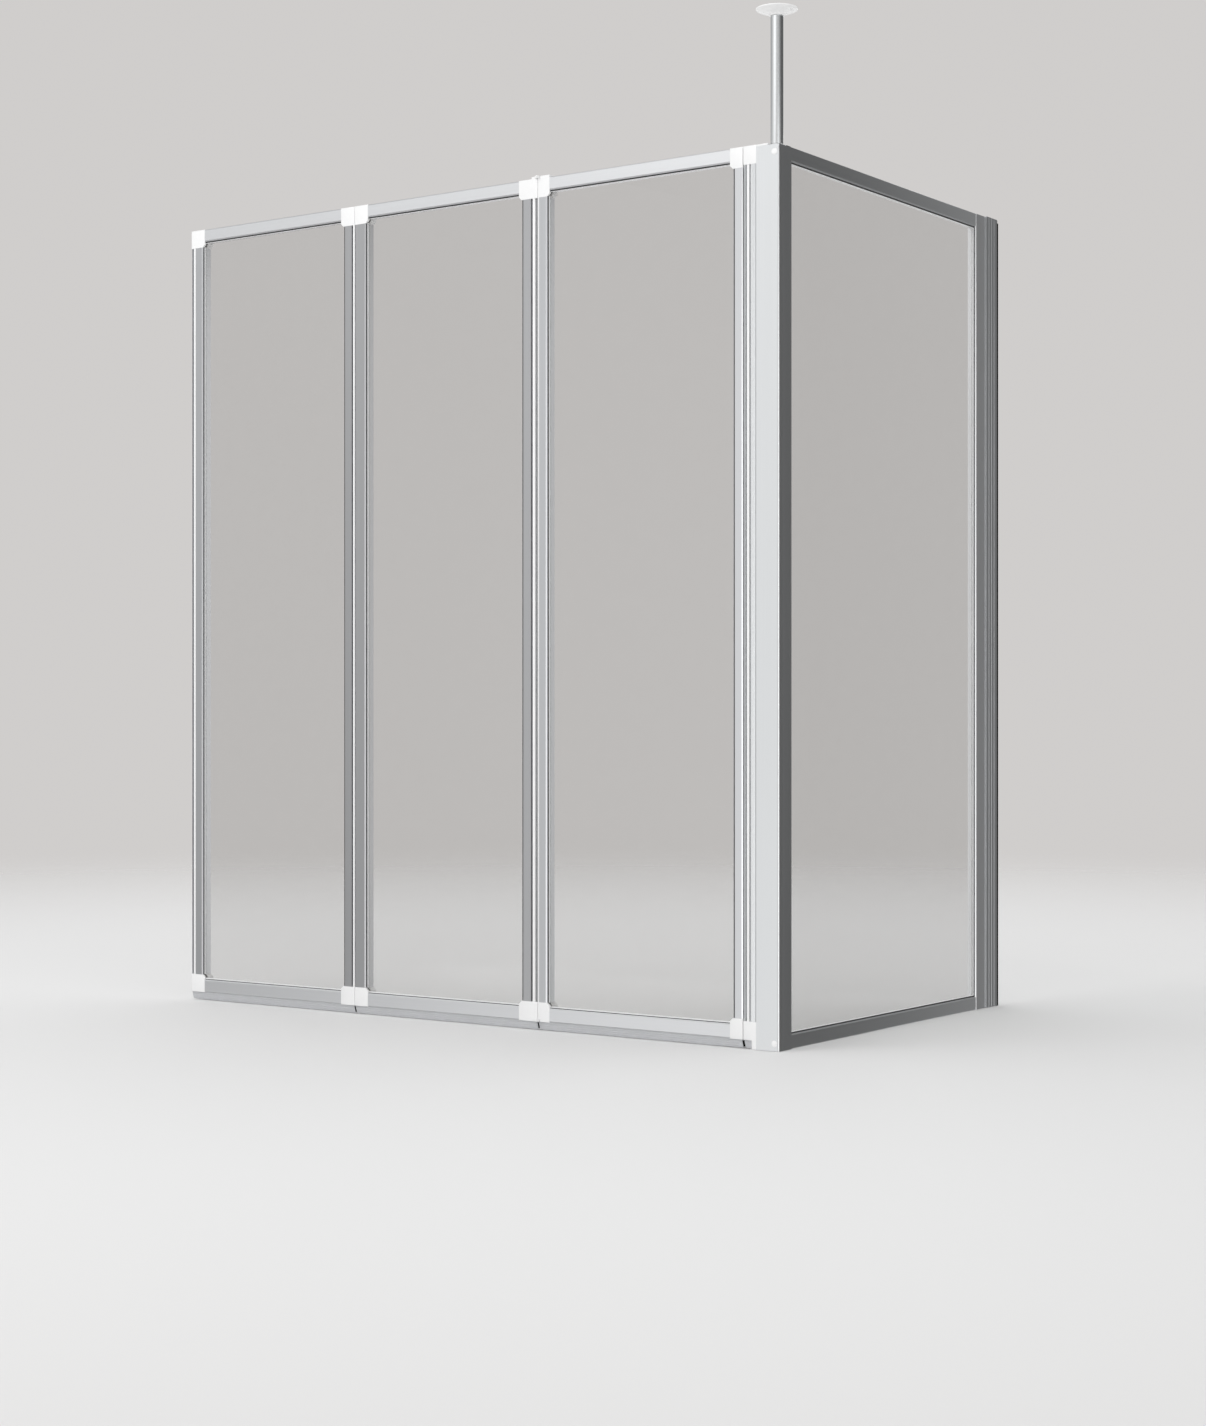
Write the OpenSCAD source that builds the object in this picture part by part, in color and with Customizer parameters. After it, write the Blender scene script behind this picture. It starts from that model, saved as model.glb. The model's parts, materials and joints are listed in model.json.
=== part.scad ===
// Folding screen of three glazed panels on a corner post, with a fixed glazed side wall and a
// strut up to the ceiling. X runs along the folding front and grows towards the post's outer
// face. Y runs along the side wall and ends at the fixing plane y = 0. Z is up from the surface
// that the post and the side wall stand on. The side wall's mid plane is x = 0.

/* [Overall] */
// Height of the folding frames' top edge above the standing surface
screen_h = 1400; // [1250:5:1500]
// Distance from the fixing plane to the front faces
side_depth = 755; // [650:5:900]

/* [Folding panels] */
// Width of the panel next to the post
near_w = 396; // [340:1:450]
// Width of the middle panel
middle_w = 395; // [340:1:450]
// Width of the end panel
end_w = 391; // [340:1:450]
// Depth of the folding frames from front to back
frame_d = 24; // [22:0.5:28]
// Height of the frames' underside above the standing surface
frame_lift = 14; // [13:0.5:18]
// Height of the top rails
top_rail_h = 22; // [20:0.5:28]
// Height of the bottom rails
bottom_rail_h = 23; // [20:0.5:28]
// Face width of the near panel's stile at the post
near_post_stile_w = 16; // [15:0.5:22]
// Face width of the near panel's stile away from the post
near_free_stile_w = 18; // [15:0.5:22]
// Face width of the middle panel's stile towards the post
middle_post_stile_w = 31; // [26:0.5:34]
// Face width of the middle panel's stile away from the post
middle_free_stile_w = 24; // [18:0.5:28]
// Face width of the end panel's stile towards the post
end_post_stile_w = 23.5; // [19:0.5:28]
// Face width of the end panel's stile at the free edge
end_free_stile_w = 27.5; // [22:0.5:32]
// How far a corner connector reaches past a stile towards the post, over the glass
post_corner_reach = 7.2; // [5.5:0.1:9]
// How far a corner connector reaches past a free stile, over the glass
free_corner_reach = 5.5; // [5.5:0.1:9]
// Height of the corner connectors
corner_h = 32; // [30:0.5:40]
// Slanted cut on a connector's corner towards the glass
corner_cut = 5; // [2:0.5:5.4]
// Length of the connectors' tongues in the hollow bars
tongue_l = 26; // [15:1:40]

/* [Bars and glazing] */
// Wall thickness of the hollow bars
wall = 1.5; // [1.2:0.1:2]
// Bevel on a bar's edge towards the glass
glass_bevel = 2; // [1:0.5:3]
// Bevel on a bar's edge away from the glass
outer_bevel = 2; // [0.5:0.1:2.5]
// Bevel on a bar's back edges
back_bevel = 1; // [0.5:0.1:2]
// Thickness of the safety glass
glass_t = 3; // [3:0.5:4]
// Depth of the folding panels' glass mid plane behind their front faces
glass_v = 7; // [6:0.5:12]
// Width of the glazing slots
slot_w = 5.5; // [5.2:0.1:7]
// Depth of the glazing slots
slot_d = 7; // [6:0.5:8]
// Height of the gasket lips above the slot mouths
gasket_lip = 3; // [1:0.1:4]
// Depth of the grooves that hold the vertical seal strips
groove_d = 4; // [3:0.1:5]
// Distance of the vertical seal strips' faces behind the bars' faces
strip_in = 0.4; // [0.2:0.1:1.5]

/* [Hinges] */
// Split between the hinge profile and the near panel
near_gap = 1.5; // [0.6:0.1:1.8]
// Split between neighbouring panels
hinge_gap = 0.8; // [0.6:0.1:1.5]
// Distance of a hinge axis outside the face that it folds towards
axis_out = 1; // [0.8:0.1:2]
// Radius of the hinge barrels on the inner faces
barrel_r = 5; // [4.5:0.1:6]
// Height of one hinge barrel
barrel_h = 13.5; // [10:0.5:14.5]
// Play between barrels, and around them
barrel_gap = 0.3; // [0.2:0.05:0.5]
// Radius of the barrel pins
pin_r = 2.5; // [2:0.1:3]
// Radius of the round ears of the middle hinge
ear_r = 4.5; // [4:0.1:5]
// Thickness of one ear of the middle hinge
ear_t = 1.5; // [1.2:0.1:2]
// Play between the two ears
ear_gap = 0.2; // [0.1:0.05:0.4]
// Radius of the ear pins
ear_pin_r = 2; // [1.5:0.1:2.5]
// Width of the pad under the ear of the panel that turns
pad_w = 12; // [10:0.5:16]
// Depth of the pads that carry the ears
pad_d = 16; // [10:0.5:20]
// Radial play of a pin in the part that turns on it
run_fit = 0.05; // [0.02:0.01:0.09]
// Radial play of a pin in the part that holds it
hold_fit = 0.02; // [0.01:0.01:0.05]

/* [Corner post] */
// Width of the post's front face
post_w = 41; // [38:0.5:50]
// Depth of the post
post_d = 38; // [36:0.5:48]
// Wall thickness of the post
post_wall = 2; // [1.5:0.1:2.5]
// Radius of the post's outer front edge
post_edge_r = 3; // [1:0.5:4]
// How far the post's top lies below the frames' top edge
post_drop = 3; // [2:0.5:5]
// How far the post's outer face stands proud of the side frame
post_proud = 2; // [1.7:0.1:3]
// Width of the hinge profile beside the post
hinge_profile_w = 23; // [19:0.5:28]
// Width of the foot under the hinge profile
hinge_foot_w = 8; // [5:0.5:12]
// How much lower the hinge profile's caps are than the corner connectors
hinge_cap_less = 3.5; // [0:0.5:4]
// Width of the shadow joint between the hinge profile and the post
joint_w = 0.8; // [0.4:0.1:1.5]
// Width of the cap plate on the post's top
post_cap_w = 21; // [18:0.5:26]
// Radius of the round screw covers
cover_r = 5; // [4.5:0.1:6]
// Height of the screw covers above the post's face
cover_h = 1.2; // [0.8:0.1:1.4]
// Distance of the screw covers from the post's outer edge
cover_in = 8; // [7:0.5:10]
// Distance of the screw covers from the post's two ends
cover_end = 11.5; // [10:0.5:16]

/* [Side wall] */
// Thickness of the side frame
side_t = 18; // [16:0.5:22]
// How far the side frame's top lies below the folding frames' top edge
side_drop = 1; // [0.5:0.5:6]
// Depth of the side glass's mid plane behind the side frame's outer face
side_glass_v = 7; // [6:0.5:10]
// Height of the side rails
side_rail_h = 23; // [20:0.5:30]
// Width of the side frame's stile at the post
side_front_stile_w = 17; // [16:0.5:20]
// Depth that this stile sits in the post's channel
side_front_seat = 13.7; // [10:0.1:14]
// Width of the side frame's stile at the wall profile
side_wall_stile_w = 60.5; // [50:0.5:80]
// Width of that stile which stays in view
side_wall_stile_view = 37; // [25:0.5:45]
// Depth of the wall profile
wall_profile_d = 47; // [40:1:60]
// Side wall thickness of the wall profile
wall_profile_wall = 2; // [1.6:0.1:3]
// Thickness of the wall profile's back
wall_profile_back = 8; // [6.5:0.5:10]
// How far the wall profile's top lies below the frames' top edge
wall_profile_drop = 0; // [0:0.5:3]
// Play between the wall profile and the stile in it
slide_fit = 0.2; // [0.1:0.05:0.4]
// Thickness of the wall seal strip along Y
wall_seal_d = 6; // [3:0.1:6.3]

/* [Ceiling strut] */
// Distance of the strut's axis from the post's outer face
strut_in = 11; // [11:0.1:14]
// Distance of the strut's axis behind the post's front face
strut_back = 12.8; // [11:0.1:12.8]
// Radius of the strut tube
strut_r = 10; // [8:0.5:10.5]
// Wall thickness of the strut tube
strut_wall = 1.2; // [1:0.1:1.5]
// Height of the ceiling plane above the frames' top edge
strut_rise = 208; // [100:1:1200]
// Radius of the ceiling flange
flange_r = 32.5; // [28:0.5:40]
// Thickness of the ceiling flange at its middle
flange_h = 11; // [8:0.5:16]
// Thickness of the ceiling flange at its rim
flange_rim = 3; // [2:0.5:5]
// Distance between the flange's two screw holes
flange_hole_gap = 52; // [36:1:54]
// Radius of the flange's screw holes
flange_hole_r = 2.4; // [2:0.1:3]

/* [Fixings] */
// Radius of the wall screw holes in the wall profile
wall_hole_r = 2.6; // [2:0.1:3.5]
// Distance between the outer pair of wall screw holes
wall_holes_outer = 1200; // [1000:10:1220]
// Distance between the inner pair of wall screw holes
wall_holes_inner = 400; // [200:10:600]
// Radius of the frame screws
screw_r = 2; // [1.5:0.1:2.2]
// Radius of the frame screws' heads
screw_head_r = 3.8; // [3:0.1:3.9]
// Height of the frame screws' heads
screw_head_h = 2.4; // [1.5:0.1:2.8]
// Distance of the long profiles' outer screws from the connectors' tongues
screw_end = 28; // [10:1:300]

/* [Hidden] */

$fn = 48;
eps = 0.01;
over = 1;

aluminium = [0.76, 0.78, 0.79];
steel = [0.62, 0.63, 0.65];
white = [0.96, 0.96, 0.95];
pale_seal = [0.82, 0.83, 0.84];
black_seal = [0.12, 0.12, 0.12];
clear = [0.80, 0.88, 0.86, 0.35];

// Panels counted from the post
NEAR = 0;
MIDDLE = 1;
END = 2;
panel_w = [near_w, middle_w, end_w];
post_stile_w = [near_post_stile_w, middle_post_stile_w, end_post_stile_w];
free_stile_w = [near_free_stile_w, middle_free_stile_w, end_free_stile_w];

// A seal groove is [distance from the bar's outer edge, width], and a width of 0 is no groove
no_groove = [0, 0];
profile_groove = [3.5, 9.8];
near_free_groove = [0, 2.4];
middle_groove = [0, 13.6];
end_groove = [0, 6.2];
free_groove = [1, 9.4];
post_stile_groove = [no_groove, middle_groove, end_groove];
free_stile_groove = [near_free_groove, no_groove, free_groove];
// A seal strip is [distance from the groove's edge, width]
profile_strip = [2.5, 4.2];
near_free_strip = [0, 2.4];
middle_strip = [5.6, 4.8];
end_strip = [0, 3.8];
free_strip = [4.3, 5];

front_y = -side_depth;
post_x1 = side_t / 2 + post_proud;
post_x0 = post_x1 - post_w;
profile_x0 = post_x0 - hinge_profile_w;
function panel_x1(i) =
    i == NEAR ? profile_x0 - near_gap : panel_x1(i - 1) - panel_w[i - 1] - hinge_gap;

post_h = screen_h - post_drop;
side_h = screen_h - side_drop;
wall_profile_h = screen_h - wall_profile_drop;
stile_z0 = frame_lift + corner_h;
stile_l = screen_h - frame_lift - 2 * corner_h;

fit = 0.15;
glass_in = 1.2;
strip_side_play = 0.05;
barrel_zone = barrel_h + barrel_gap;
ears_h = 2 * ear_t + ear_gap;
ear_pin_head_h = 0.8;
ear_sunk = ears_h + ear_pin_head_h;

// The hinge profile's caps cover both barrels
hinge_cap_h = max(corner_h - hinge_cap_less, 2 * barrel_zone + over);
hinge_profile_z0 = frame_lift + hinge_cap_h;
hinge_profile_l = screen_h - frame_lift - 2 * hinge_cap_h;
joint_d = 2;
rib_gap = 2;
rib_cut = 0.4;
ear_pin_head_r = 3.2;
pin_end_in = 1;

// The post has a front room and, behind a web, a channel for the side frame
channel_play = 0.3;
channel_d = side_front_seat + channel_play;
web_y1 = front_y + post_d - channel_d;
web_y0 = web_y1 - post_wall;
side_front_y0 = front_y + post_d - side_front_seat;
side_front_y1 = side_front_y0 + side_front_stile_w;
side_wall_y0 = -wall_profile_d - side_wall_stile_view;
side_rail_l = side_wall_y0 - side_front_y1;
side_glass_x = side_t / 2 - side_glass_v;

strut_x = post_x1 - strut_in;
strut_y = front_y + strut_back;
ceiling_z = screen_h + strut_rise;
strut_collar_h = 1.5;
strut_z0 = post_h + strut_collar_h;
flange_z0 = ceiling_z - flange_h;
spigot_r = strut_r - strut_wall - fit;
spigot_l = 20;
strut_peg_r = 8.2;
strut_peg_l = 4;
cap_round_play = 0.6;

cover_x = post_x1 - cover_in;
cover_z = [cover_end, post_h - cover_end];
cover_step = 1;
cover_plug_r = cover_r - cover_step;
cover_plug_play = 0.1;
cover_plug_l = 2.5;

// Screws through the post into the side frame, and along the height of the two long profiles
screw_hole_play = 0.1;
thread_play = 0.05;
post_screw_grip = 3.5;
post_screw_l = post_wall + channel_play + wall + post_screw_grip;
screw_z = [
    stile_z0 + tongue_l + screw_end, stile_z0 + stile_l / 2,
    stile_z0 + stile_l - tongue_l - screw_end
];
hinge_screw_in = 8;
hinge_screw_l = 14;
hinge_screw_x = post_x0 - wall;
hinge_screw_y = front_y + frame_d - hinge_screw_in;
wall_screw_in = 12;
wall_screw_grip = 6;
wall_screw_x = -side_t / 2 - slide_fit - wall_profile_wall;
wall_screw_y = side_wall_y0 + side_wall_stile_w - wall_screw_in;
wall_screw_l = wall_profile_wall + slide_fit + wall + wall_screw_grip;

// Screws in the ports of the side rails
rail_screw_grip = 14;
rail_screw_l = slot_d + wall + rail_screw_grip;
rail_port_wall = 1.4;
rail_port_in = (side_rail_h - slot_d) / 2;
rail_screw_z = [rail_port_in, side_h - rail_port_in];

wall_seal_top_in = 6;
wall_hole_z = [
    for (d = [wall_holes_outer, wall_holes_inner])
        for (side = [-1, 1])
            screen_h / 2 + side * d / 2
];
opening_h = screen_h - frame_lift - top_rail_h - bottom_rail_h;
side_opening_h = side_h - 2 * side_rail_h;

// Lip seal under a frame. Its v runs inwards from the front face.
drip_top_v = [2, 20];
drip_lip_v = [2.6, 4.2];
drip_web_t = 2.2;
drip_clear = 1;
drip_end_in = 0.5;
drip_slant = 2;
drip_foot_play = 0.05;

// Places a panel's own frame: u runs from the panel's edge at the post towards the free edge,
// v runs inwards from the front face
module in_panel(i) {
    translate([panel_x1(i), front_y, 0])
        mirror([1, 0, 0])
            children();
}

// Turns the panel's own frame round, so that u runs from its free edge towards the post
module from_free_edge(i) {
    translate([panel_w[i], 0, 0])
        mirror([1, 0, 0])
            children();
}

// Turns what hangs from z = 0 upside down, onto the frames' underside
module from_underside() {
    translate([0, 0, frame_lift])
        mirror([0, 0, 1])
            children();
}

module from_top_edge() {
    translate([0, 0, screen_h])
        children();
}

// Section of a hollow glazed bar: x from its outer edge to its edge at the glass, y its depth
module bar_section(w, d, slot_y, groove, bevel = outer_bevel) {
    front = wall + (groove[1] > 0 ? groove_d : 0);
    difference() {
        polygon([
            [bevel, 0], [w - glass_bevel, 0], [w, glass_bevel], [w, d - back_bevel],
            [w - back_bevel, d], [back_bevel, d], [0, d - back_bevel], [0, bevel]
        ]);
        translate([w - slot_d, slot_y - slot_w / 2])
            square([slot_d + over, slot_w]);
        translate([wall, front])
            square([w - slot_d - 2 * wall, d - front - wall]);
        if (groove[1] > 0)
            translate([groove[0], -over])
                square([groove[1], groove_d + over]);
    }
}

// A bar along X whose outer edge is up, at z = 0
module rail_bar(l, h, d, slot_y, bevel = outer_bevel) {
    rotate([0, 90, 0])
        linear_extrude(l)
            bar_section(h, d, slot_y, no_groove, bevel);
}

// A gasket folded round the glass's edge, x from the slot's bottom, centred on y = 0
module gasket_section() {
    seat_play = 0.05;
    difference() {
        translate([seat_play, -slot_w / 2 + seat_play])
            square([slot_d + gasket_lip - seat_play, slot_w - 2 * seat_play]);
        translate([glass_in, -glass_t / 2])
            square([slot_d + gasket_lip, glass_t]);
    }
}

// Four gaskets round an opening that starts at [0, 0] and measures w by h
module gasket_frame(w, h) {
    butt_play = 0.05;
    side_l = h + 2 * (slot_d - butt_play);
    cross_l = w - 2 * (gasket_lip + butt_play);
    for (m = [0, 1])
        translate([m * w, 0, -slot_d + butt_play])
            mirror([m, 0, 0])
                translate([-slot_d, 0, 0])
                    linear_extrude(side_l)
                        gasket_section();
    for (m = [0, 1])
        translate([(w - cross_l) / 2, 0, m * h])
            mirror([0, 0, m])
                translate([0, 0, -slot_d])
                    rotate([0, -90, 0])
                        mirror([0, 0, 1])
                            linear_extrude(cross_l)
                                gasket_section();
}

// A pane whose edges lie in the slots round an opening that starts at [0, 0]
module pane(w, h) {
    reach = slot_d - glass_in;
    translate([-reach, -glass_t / 2, -reach])
        cube([w + 2 * reach, glass_t, h + 2 * reach]);
}

function opening_w(i) = panel_w[i] - post_stile_w[i] - free_stile_w[i];

module in_opening(i) {
    in_panel(i)
        translate([post_stile_w[i], glass_v, frame_lift + bottom_rail_h])
            children();
}

// The block of a corner connector: u from the frame's edge, z down from the frame's edge
module corner_block(stile_w, reach, rail_h) {
    w = stile_w + reach;
    difference() {
        translate([0, frame_d, 0])
            rotate([90, 0, 0])
                linear_extrude(frame_d)
                    polygon([
                        [0, 0], [w, 0], [w, corner_cut - corner_h],
                        [w - corner_cut, -corner_h], [0, -corner_h]
                    ]);
        translate([stile_w - slot_d, glass_v - slot_w / 2, -corner_h - over])
            cube([w, slot_w, corner_h + over - rail_h + slot_d]);
    }
}

// The tongues of a corner connector in the stile's and the rail's hollow
module corner_tongues(stile_w, reach, rail_h, groove) {
    front = wall + (groove[1] > 0 ? groove_d : 0);
    hollow = 2 * (wall + fit);
    translate([wall + fit, front + fit, -corner_h - tongue_l])
        cube([stile_w - slot_d - hollow, frame_d - front - wall - 2 * fit, tongue_l + eps]);
    translate([stile_w + reach - eps, wall + fit, -rail_h + slot_d + wall + fit])
        cube([tongue_l + eps, frame_d - hollow, rail_h - slot_d - hollow]);
}

// Where the barrels' axis and the ears' axis stand in a frame that starts at the split
module at_barrel_axis(gap) {
    translate([-gap / 2, frame_d + axis_out, 0])
        children();
}

module at_ear_axis() {
    translate([-hinge_gap / 2, -axis_out, 0])
        children();
}

// Adds a barrel in zone 0, at the frame's edge, or in zone 1 next to it, and clears the
// neighbour's barrel in the other zone
module with_barrel(zone, bore_r, gap) {
    other = 1 - zone;
    difference() {
        union() {
            children();
            at_barrel_axis(gap)
                translate([0, 0, -zone * barrel_zone - barrel_h])
                    cylinder(r = barrel_r, h = barrel_h);
        }
        at_barrel_axis(gap)
            translate([0, 0, other == 0 ? -barrel_zone : -2 * barrel_zone])
                cylinder(
                    r = barrel_r + barrel_gap, h = barrel_zone + (other == 0 ? over : barrel_gap)
                );
        at_barrel_axis(gap)
            translate([0, 0, -zone * barrel_zone - barrel_h - eps])
                cylinder(r = bore_r, h = barrel_h + 2 * eps);
    }
}

// Adds a pad w wide with an ear in zone 0, next to the frame's edge, or in zone 1 outside it
module with_raised_ear(zone, bore_r, w) {
    other = 1 - zone;
    ear_zone = ear_t + ear_gap;
    union() {
        children();
        difference() {
            union() {
                cube([w, pad_d, ears_h]);
                at_ear_axis()
                    translate([0, 0, zone * ear_zone])
                        cylinder(r = ear_r, h = ear_t);
            }
            at_ear_axis()
                translate([0, 0, other == 0 ? -eps : ear_t])
                    cylinder(r = ear_r + barrel_gap, h = ear_zone + eps);
            at_ear_axis()
                translate([0, 0, -over])
                    cylinder(r = bore_r, h = ears_h + 2 * over);
        }
    }
}

// Adds an ear inside the frame's edge, and clears the neighbour's ear and the pin's head
module with_sunk_ear(zone, bore_r) {
    other = 1 - zone;
    ear_zone = ear_t + ear_gap;
    difference() {
        union() {
            children();
            at_ear_axis()
                translate([0, 0, zone * ear_zone - ear_sunk])
                    cylinder(r = ear_r, h = ear_t);
        }
        at_ear_axis() {
            translate([0, 0, (other == 0 ? -ear_gap : ear_t) - ear_sunk])
                cylinder(
                    r = ear_r + barrel_gap,
                    h = other == 0 ? ear_zone + ear_gap : ear_sunk - ear_t + over
                );
            translate([0, 0, -ear_sunk - eps])
                cylinder(r = bore_r, h = ear_sunk + over);
            translate([0, 0, -ear_pin_head_h - (zone == 0 ? 0 : eps)])
                cylinder(r = ear_pin_head_r + barrel_gap, h = ear_pin_head_h + over);
        }
    }
}

module panel_top_rail(i) {
    start = post_stile_w[i] + post_corner_reach;
    l = opening_w(i) - post_corner_reach - free_corner_reach;
    in_panel(i)
        translate([start, 0, screen_h])
            rail_bar(l, top_rail_h, frame_d, glass_v);
}

module panel_bottom_rail(i) {
    start = post_stile_w[i] + post_corner_reach;
    l = opening_w(i) - post_corner_reach - free_corner_reach;
    in_panel(i)
        from_underside()
            translate([start, 0, 0])
                rail_bar(l, bottom_rail_h, frame_d, glass_v);
}

module panel_post_stile(i) {
    in_panel(i)
        translate([0, 0, stile_z0])
            linear_extrude(stile_l)
                bar_section(post_stile_w[i], frame_d, glass_v, post_stile_groove[i]);
}

module panel_free_stile(i) {
    in_panel(i)
        from_free_edge(i)
            translate([0, 0, stile_z0])
                linear_extrude(stile_l)
                    bar_section(free_stile_w[i], frame_d, glass_v, free_stile_groove[i]);
}

// One corner connector. free picks the side, below picks the bottom, and zone is that of its
// barrel or ear. The panel that turns lies above the one that carries it.
module panel_corner(i, free, below) {
    stile_w = free ? free_stile_w[i] : post_stile_w[i];
    reach = free ? free_corner_reach : post_corner_reach;
    rail_h = below ? bottom_rail_h : top_rail_h;
    groove = free ? free_stile_groove[i] : post_stile_groove[i];
    turns = !free;
    eared = (i == NEAR && free) || (i == MIDDLE && !free);
    plain = i == END && free;
    barrel_zone_here = turns == below ? 1 : 0;
    ear_zone_here = turns == below ? 0 : 1;
    play = turns ? run_fit : hold_fit;
    if (plain) {
        corner_block(stile_w, reach, rail_h);
        corner_tongues(stile_w, reach, rail_h, groove);
    } else if (eared && below) {
        with_sunk_ear(ear_zone_here, ear_pin_r + play) {
            corner_block(stile_w, reach, rail_h);
            corner_tongues(stile_w, reach, rail_h, groove);
        }
    } else if (eared) {
        with_raised_ear(ear_zone_here, ear_pin_r + play, turns ? pad_w : stile_w + reach) {
            corner_block(stile_w, reach, rail_h);
            corner_tongues(stile_w, reach, rail_h, groove);
        }
    } else {
        with_barrel(barrel_zone_here, pin_r + play, i == NEAR ? near_gap : hinge_gap) {
            corner_block(stile_w, reach, rail_h);
            corner_tongues(stile_w, reach, rail_h, groove);
        }
    }
}

module panel_post_top_corner(i) {
    in_panel(i)
        from_top_edge()
            panel_corner(i, false, false);
}

module panel_post_bottom_corner(i) {
    in_panel(i)
        from_underside()
            panel_corner(i, false, true);
}

module panel_free_top_corner(i) {
    in_panel(i)
        from_free_edge(i)
            from_top_edge()
                panel_corner(i, true, false);
}

module panel_free_bottom_corner(i) {
    in_panel(i)
        from_free_edge(i)
            from_underside()
                panel_corner(i, true, true);
}

module panel_glass(i) {
    in_opening(i)
        pane(opening_w(i), opening_h);
}

module panel_gaskets(i) {
    in_opening(i)
        gasket_frame(opening_w(i), opening_h);
}

// Lip seal that hangs under a frame from u = 0 to u = l. Its ends lie in from there by ends[0]
// and ends[1] at the top, and by ends[2] and ends[3] at the lip.
module drip_seal(l, ends) {
    intersection() {
        rotate([90, 0, 90])
            linear_extrude(l)
                polygon([
                    [drip_top_v[0], frame_lift], [drip_top_v[1], frame_lift],
                    [drip_top_v[1], frame_lift - drip_web_t],
                    [drip_lip_v[1] + drip_web_t, frame_lift - drip_web_t],
                    [drip_lip_v[1], drip_clear], [drip_lip_v[0], drip_clear],
                    [drip_top_v[0], frame_lift / 2]
                ]);
        translate([0, frame_d, 0])
            rotate([90, 0, 0])
                linear_extrude(frame_d)
                    polygon([
                        [ends[0], frame_lift], [l - ends[1], frame_lift],
                        [l - ends[3], drip_clear], [ends[2], drip_clear]
                    ]);
    }
}

// Lip seal under a panel, with slanted ends
module panel_drip_seal(i) {
    far = drip_end_in + drip_slant;
    in_panel(i)
        drip_seal(panel_w[i], [far, drip_end_in, drip_end_in, far]);
}

// A vertical seal strip on the bottom of its groove
module strip(groove, place, z0 = stile_z0, l = stile_l) {
    translate([groove[0] + place[0] + strip_side_play, strip_in, z0])
        cube([place[1] - 2 * strip_side_play, groove_d - strip_in, l]);
}

// The two pins of a barrel hinge, in a frame that starts at the split
module barrel_pins(gap) {
    l = 2 * barrel_h + barrel_gap - 2 * pin_end_in;
    at_barrel_axis(gap) {
        translate([0, 0, screen_h - pin_end_in - l])
            cylinder(r = pin_r, h = l);
        translate([0, 0, frame_lift + pin_end_in])
            cylinder(r = pin_r, h = l);
    }
}

// The two headed pins of the middle hinge, in a frame that starts at the split
module ear_pins() {
    at_ear_axis() {
        from_top_edge()
            ear_pin();
        from_underside()
            translate([0, 0, -ear_sunk])
                ear_pin();
    }
}

module ear_pin() {
    foot = 0.1;
    translate([0, 0, foot])
        cylinder(r = ear_pin_r, h = ears_h - foot + eps);
    translate([0, 0, ears_h])
        cylinder(r = ear_pin_head_r, h = ear_pin_head_h);
}

module corner_post() {
    color(aluminium)
        difference() {
            linear_extrude(post_h)
                difference() {
                    translate([post_x0, front_y])
                        square([post_w, post_d]);
                    // Round outer front edge
                    translate([post_x1 - post_edge_r, front_y])
                        difference() {
                            translate([0, -over])
                                square([post_edge_r + over, post_edge_r + over]);
                            translate([0, post_edge_r])
                                circle(r = post_edge_r);
                        }
                    // Front room
                    translate([post_x0 + post_wall, front_y + post_wall])
                        square([post_w - 2 * post_wall, web_y0 - front_y - post_wall]);
                    // Room beside the channel
                    translate([post_x0 + post_wall, web_y1])
                        square([
                            post_w - 3 * post_wall - side_t - channel_play - post_proud,
                            channel_d - post_wall
                        ]);
                    // Channel for the side frame
                    translate([-side_t / 2 - channel_play, web_y1])
                        square([side_t + 2 * channel_play, channel_d + over]);
                }
            for (z = cover_z)
                translate([cover_x, front_y, z])
                    rotate([-90, 0, 0]) {
                        translate([0, 0, -over])
                            cylinder(r = cover_plug_r + cover_plug_play, h = post_wall + 2 * over);
                        translate([0, 0, web_y0 - front_y - over])
                            cylinder(r = screw_r + screw_hole_play, h = post_wall + 2 * over);
                    }
            for (z = screw_z)
                translate([post_x0 - over, hinge_screw_y, z])
                    rotate([0, 90, 0])
                        cylinder(r = screw_r + thread_play, h = post_wall + 2 * over);
        }
}

module post_top_cap() {
    // Width, depth and length of the peg in the post's front room
    peg = [10, 14, 8];
    color(white)
        difference() {
            union() {
                translate([post_x0, front_y, post_h])
                    cube([post_cap_w, frame_d, post_drop]);
                translate([post_x0 + post_wall + fit, front_y + post_wall + fit, post_h - peg[2]])
                    cube([peg[0], peg[1], peg[2] + eps]);
            }
            translate([strut_x, strut_y, post_h - over])
                cylinder(r = strut_r + cap_round_play, h = post_drop + 2 * over);
        }
}

module post_screw_covers() {
    color(white)
        for (z = cover_z)
            translate([cover_x, front_y, z])
                rotate([-90, 0, 0]) {
                    translate([0, 0, -cover_h])
                        cylinder(r1 = cover_r - cover_h / 2, r2 = cover_r, h = cover_h);
                    cylinder(r = cover_plug_r, h = cover_plug_l);
                }
}

// The hinge profile and its caps have a frame that starts at the split, with u towards the post
module at_hinge_profile() {
    translate([profile_x0, front_y, 0])
        children();
}

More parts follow.
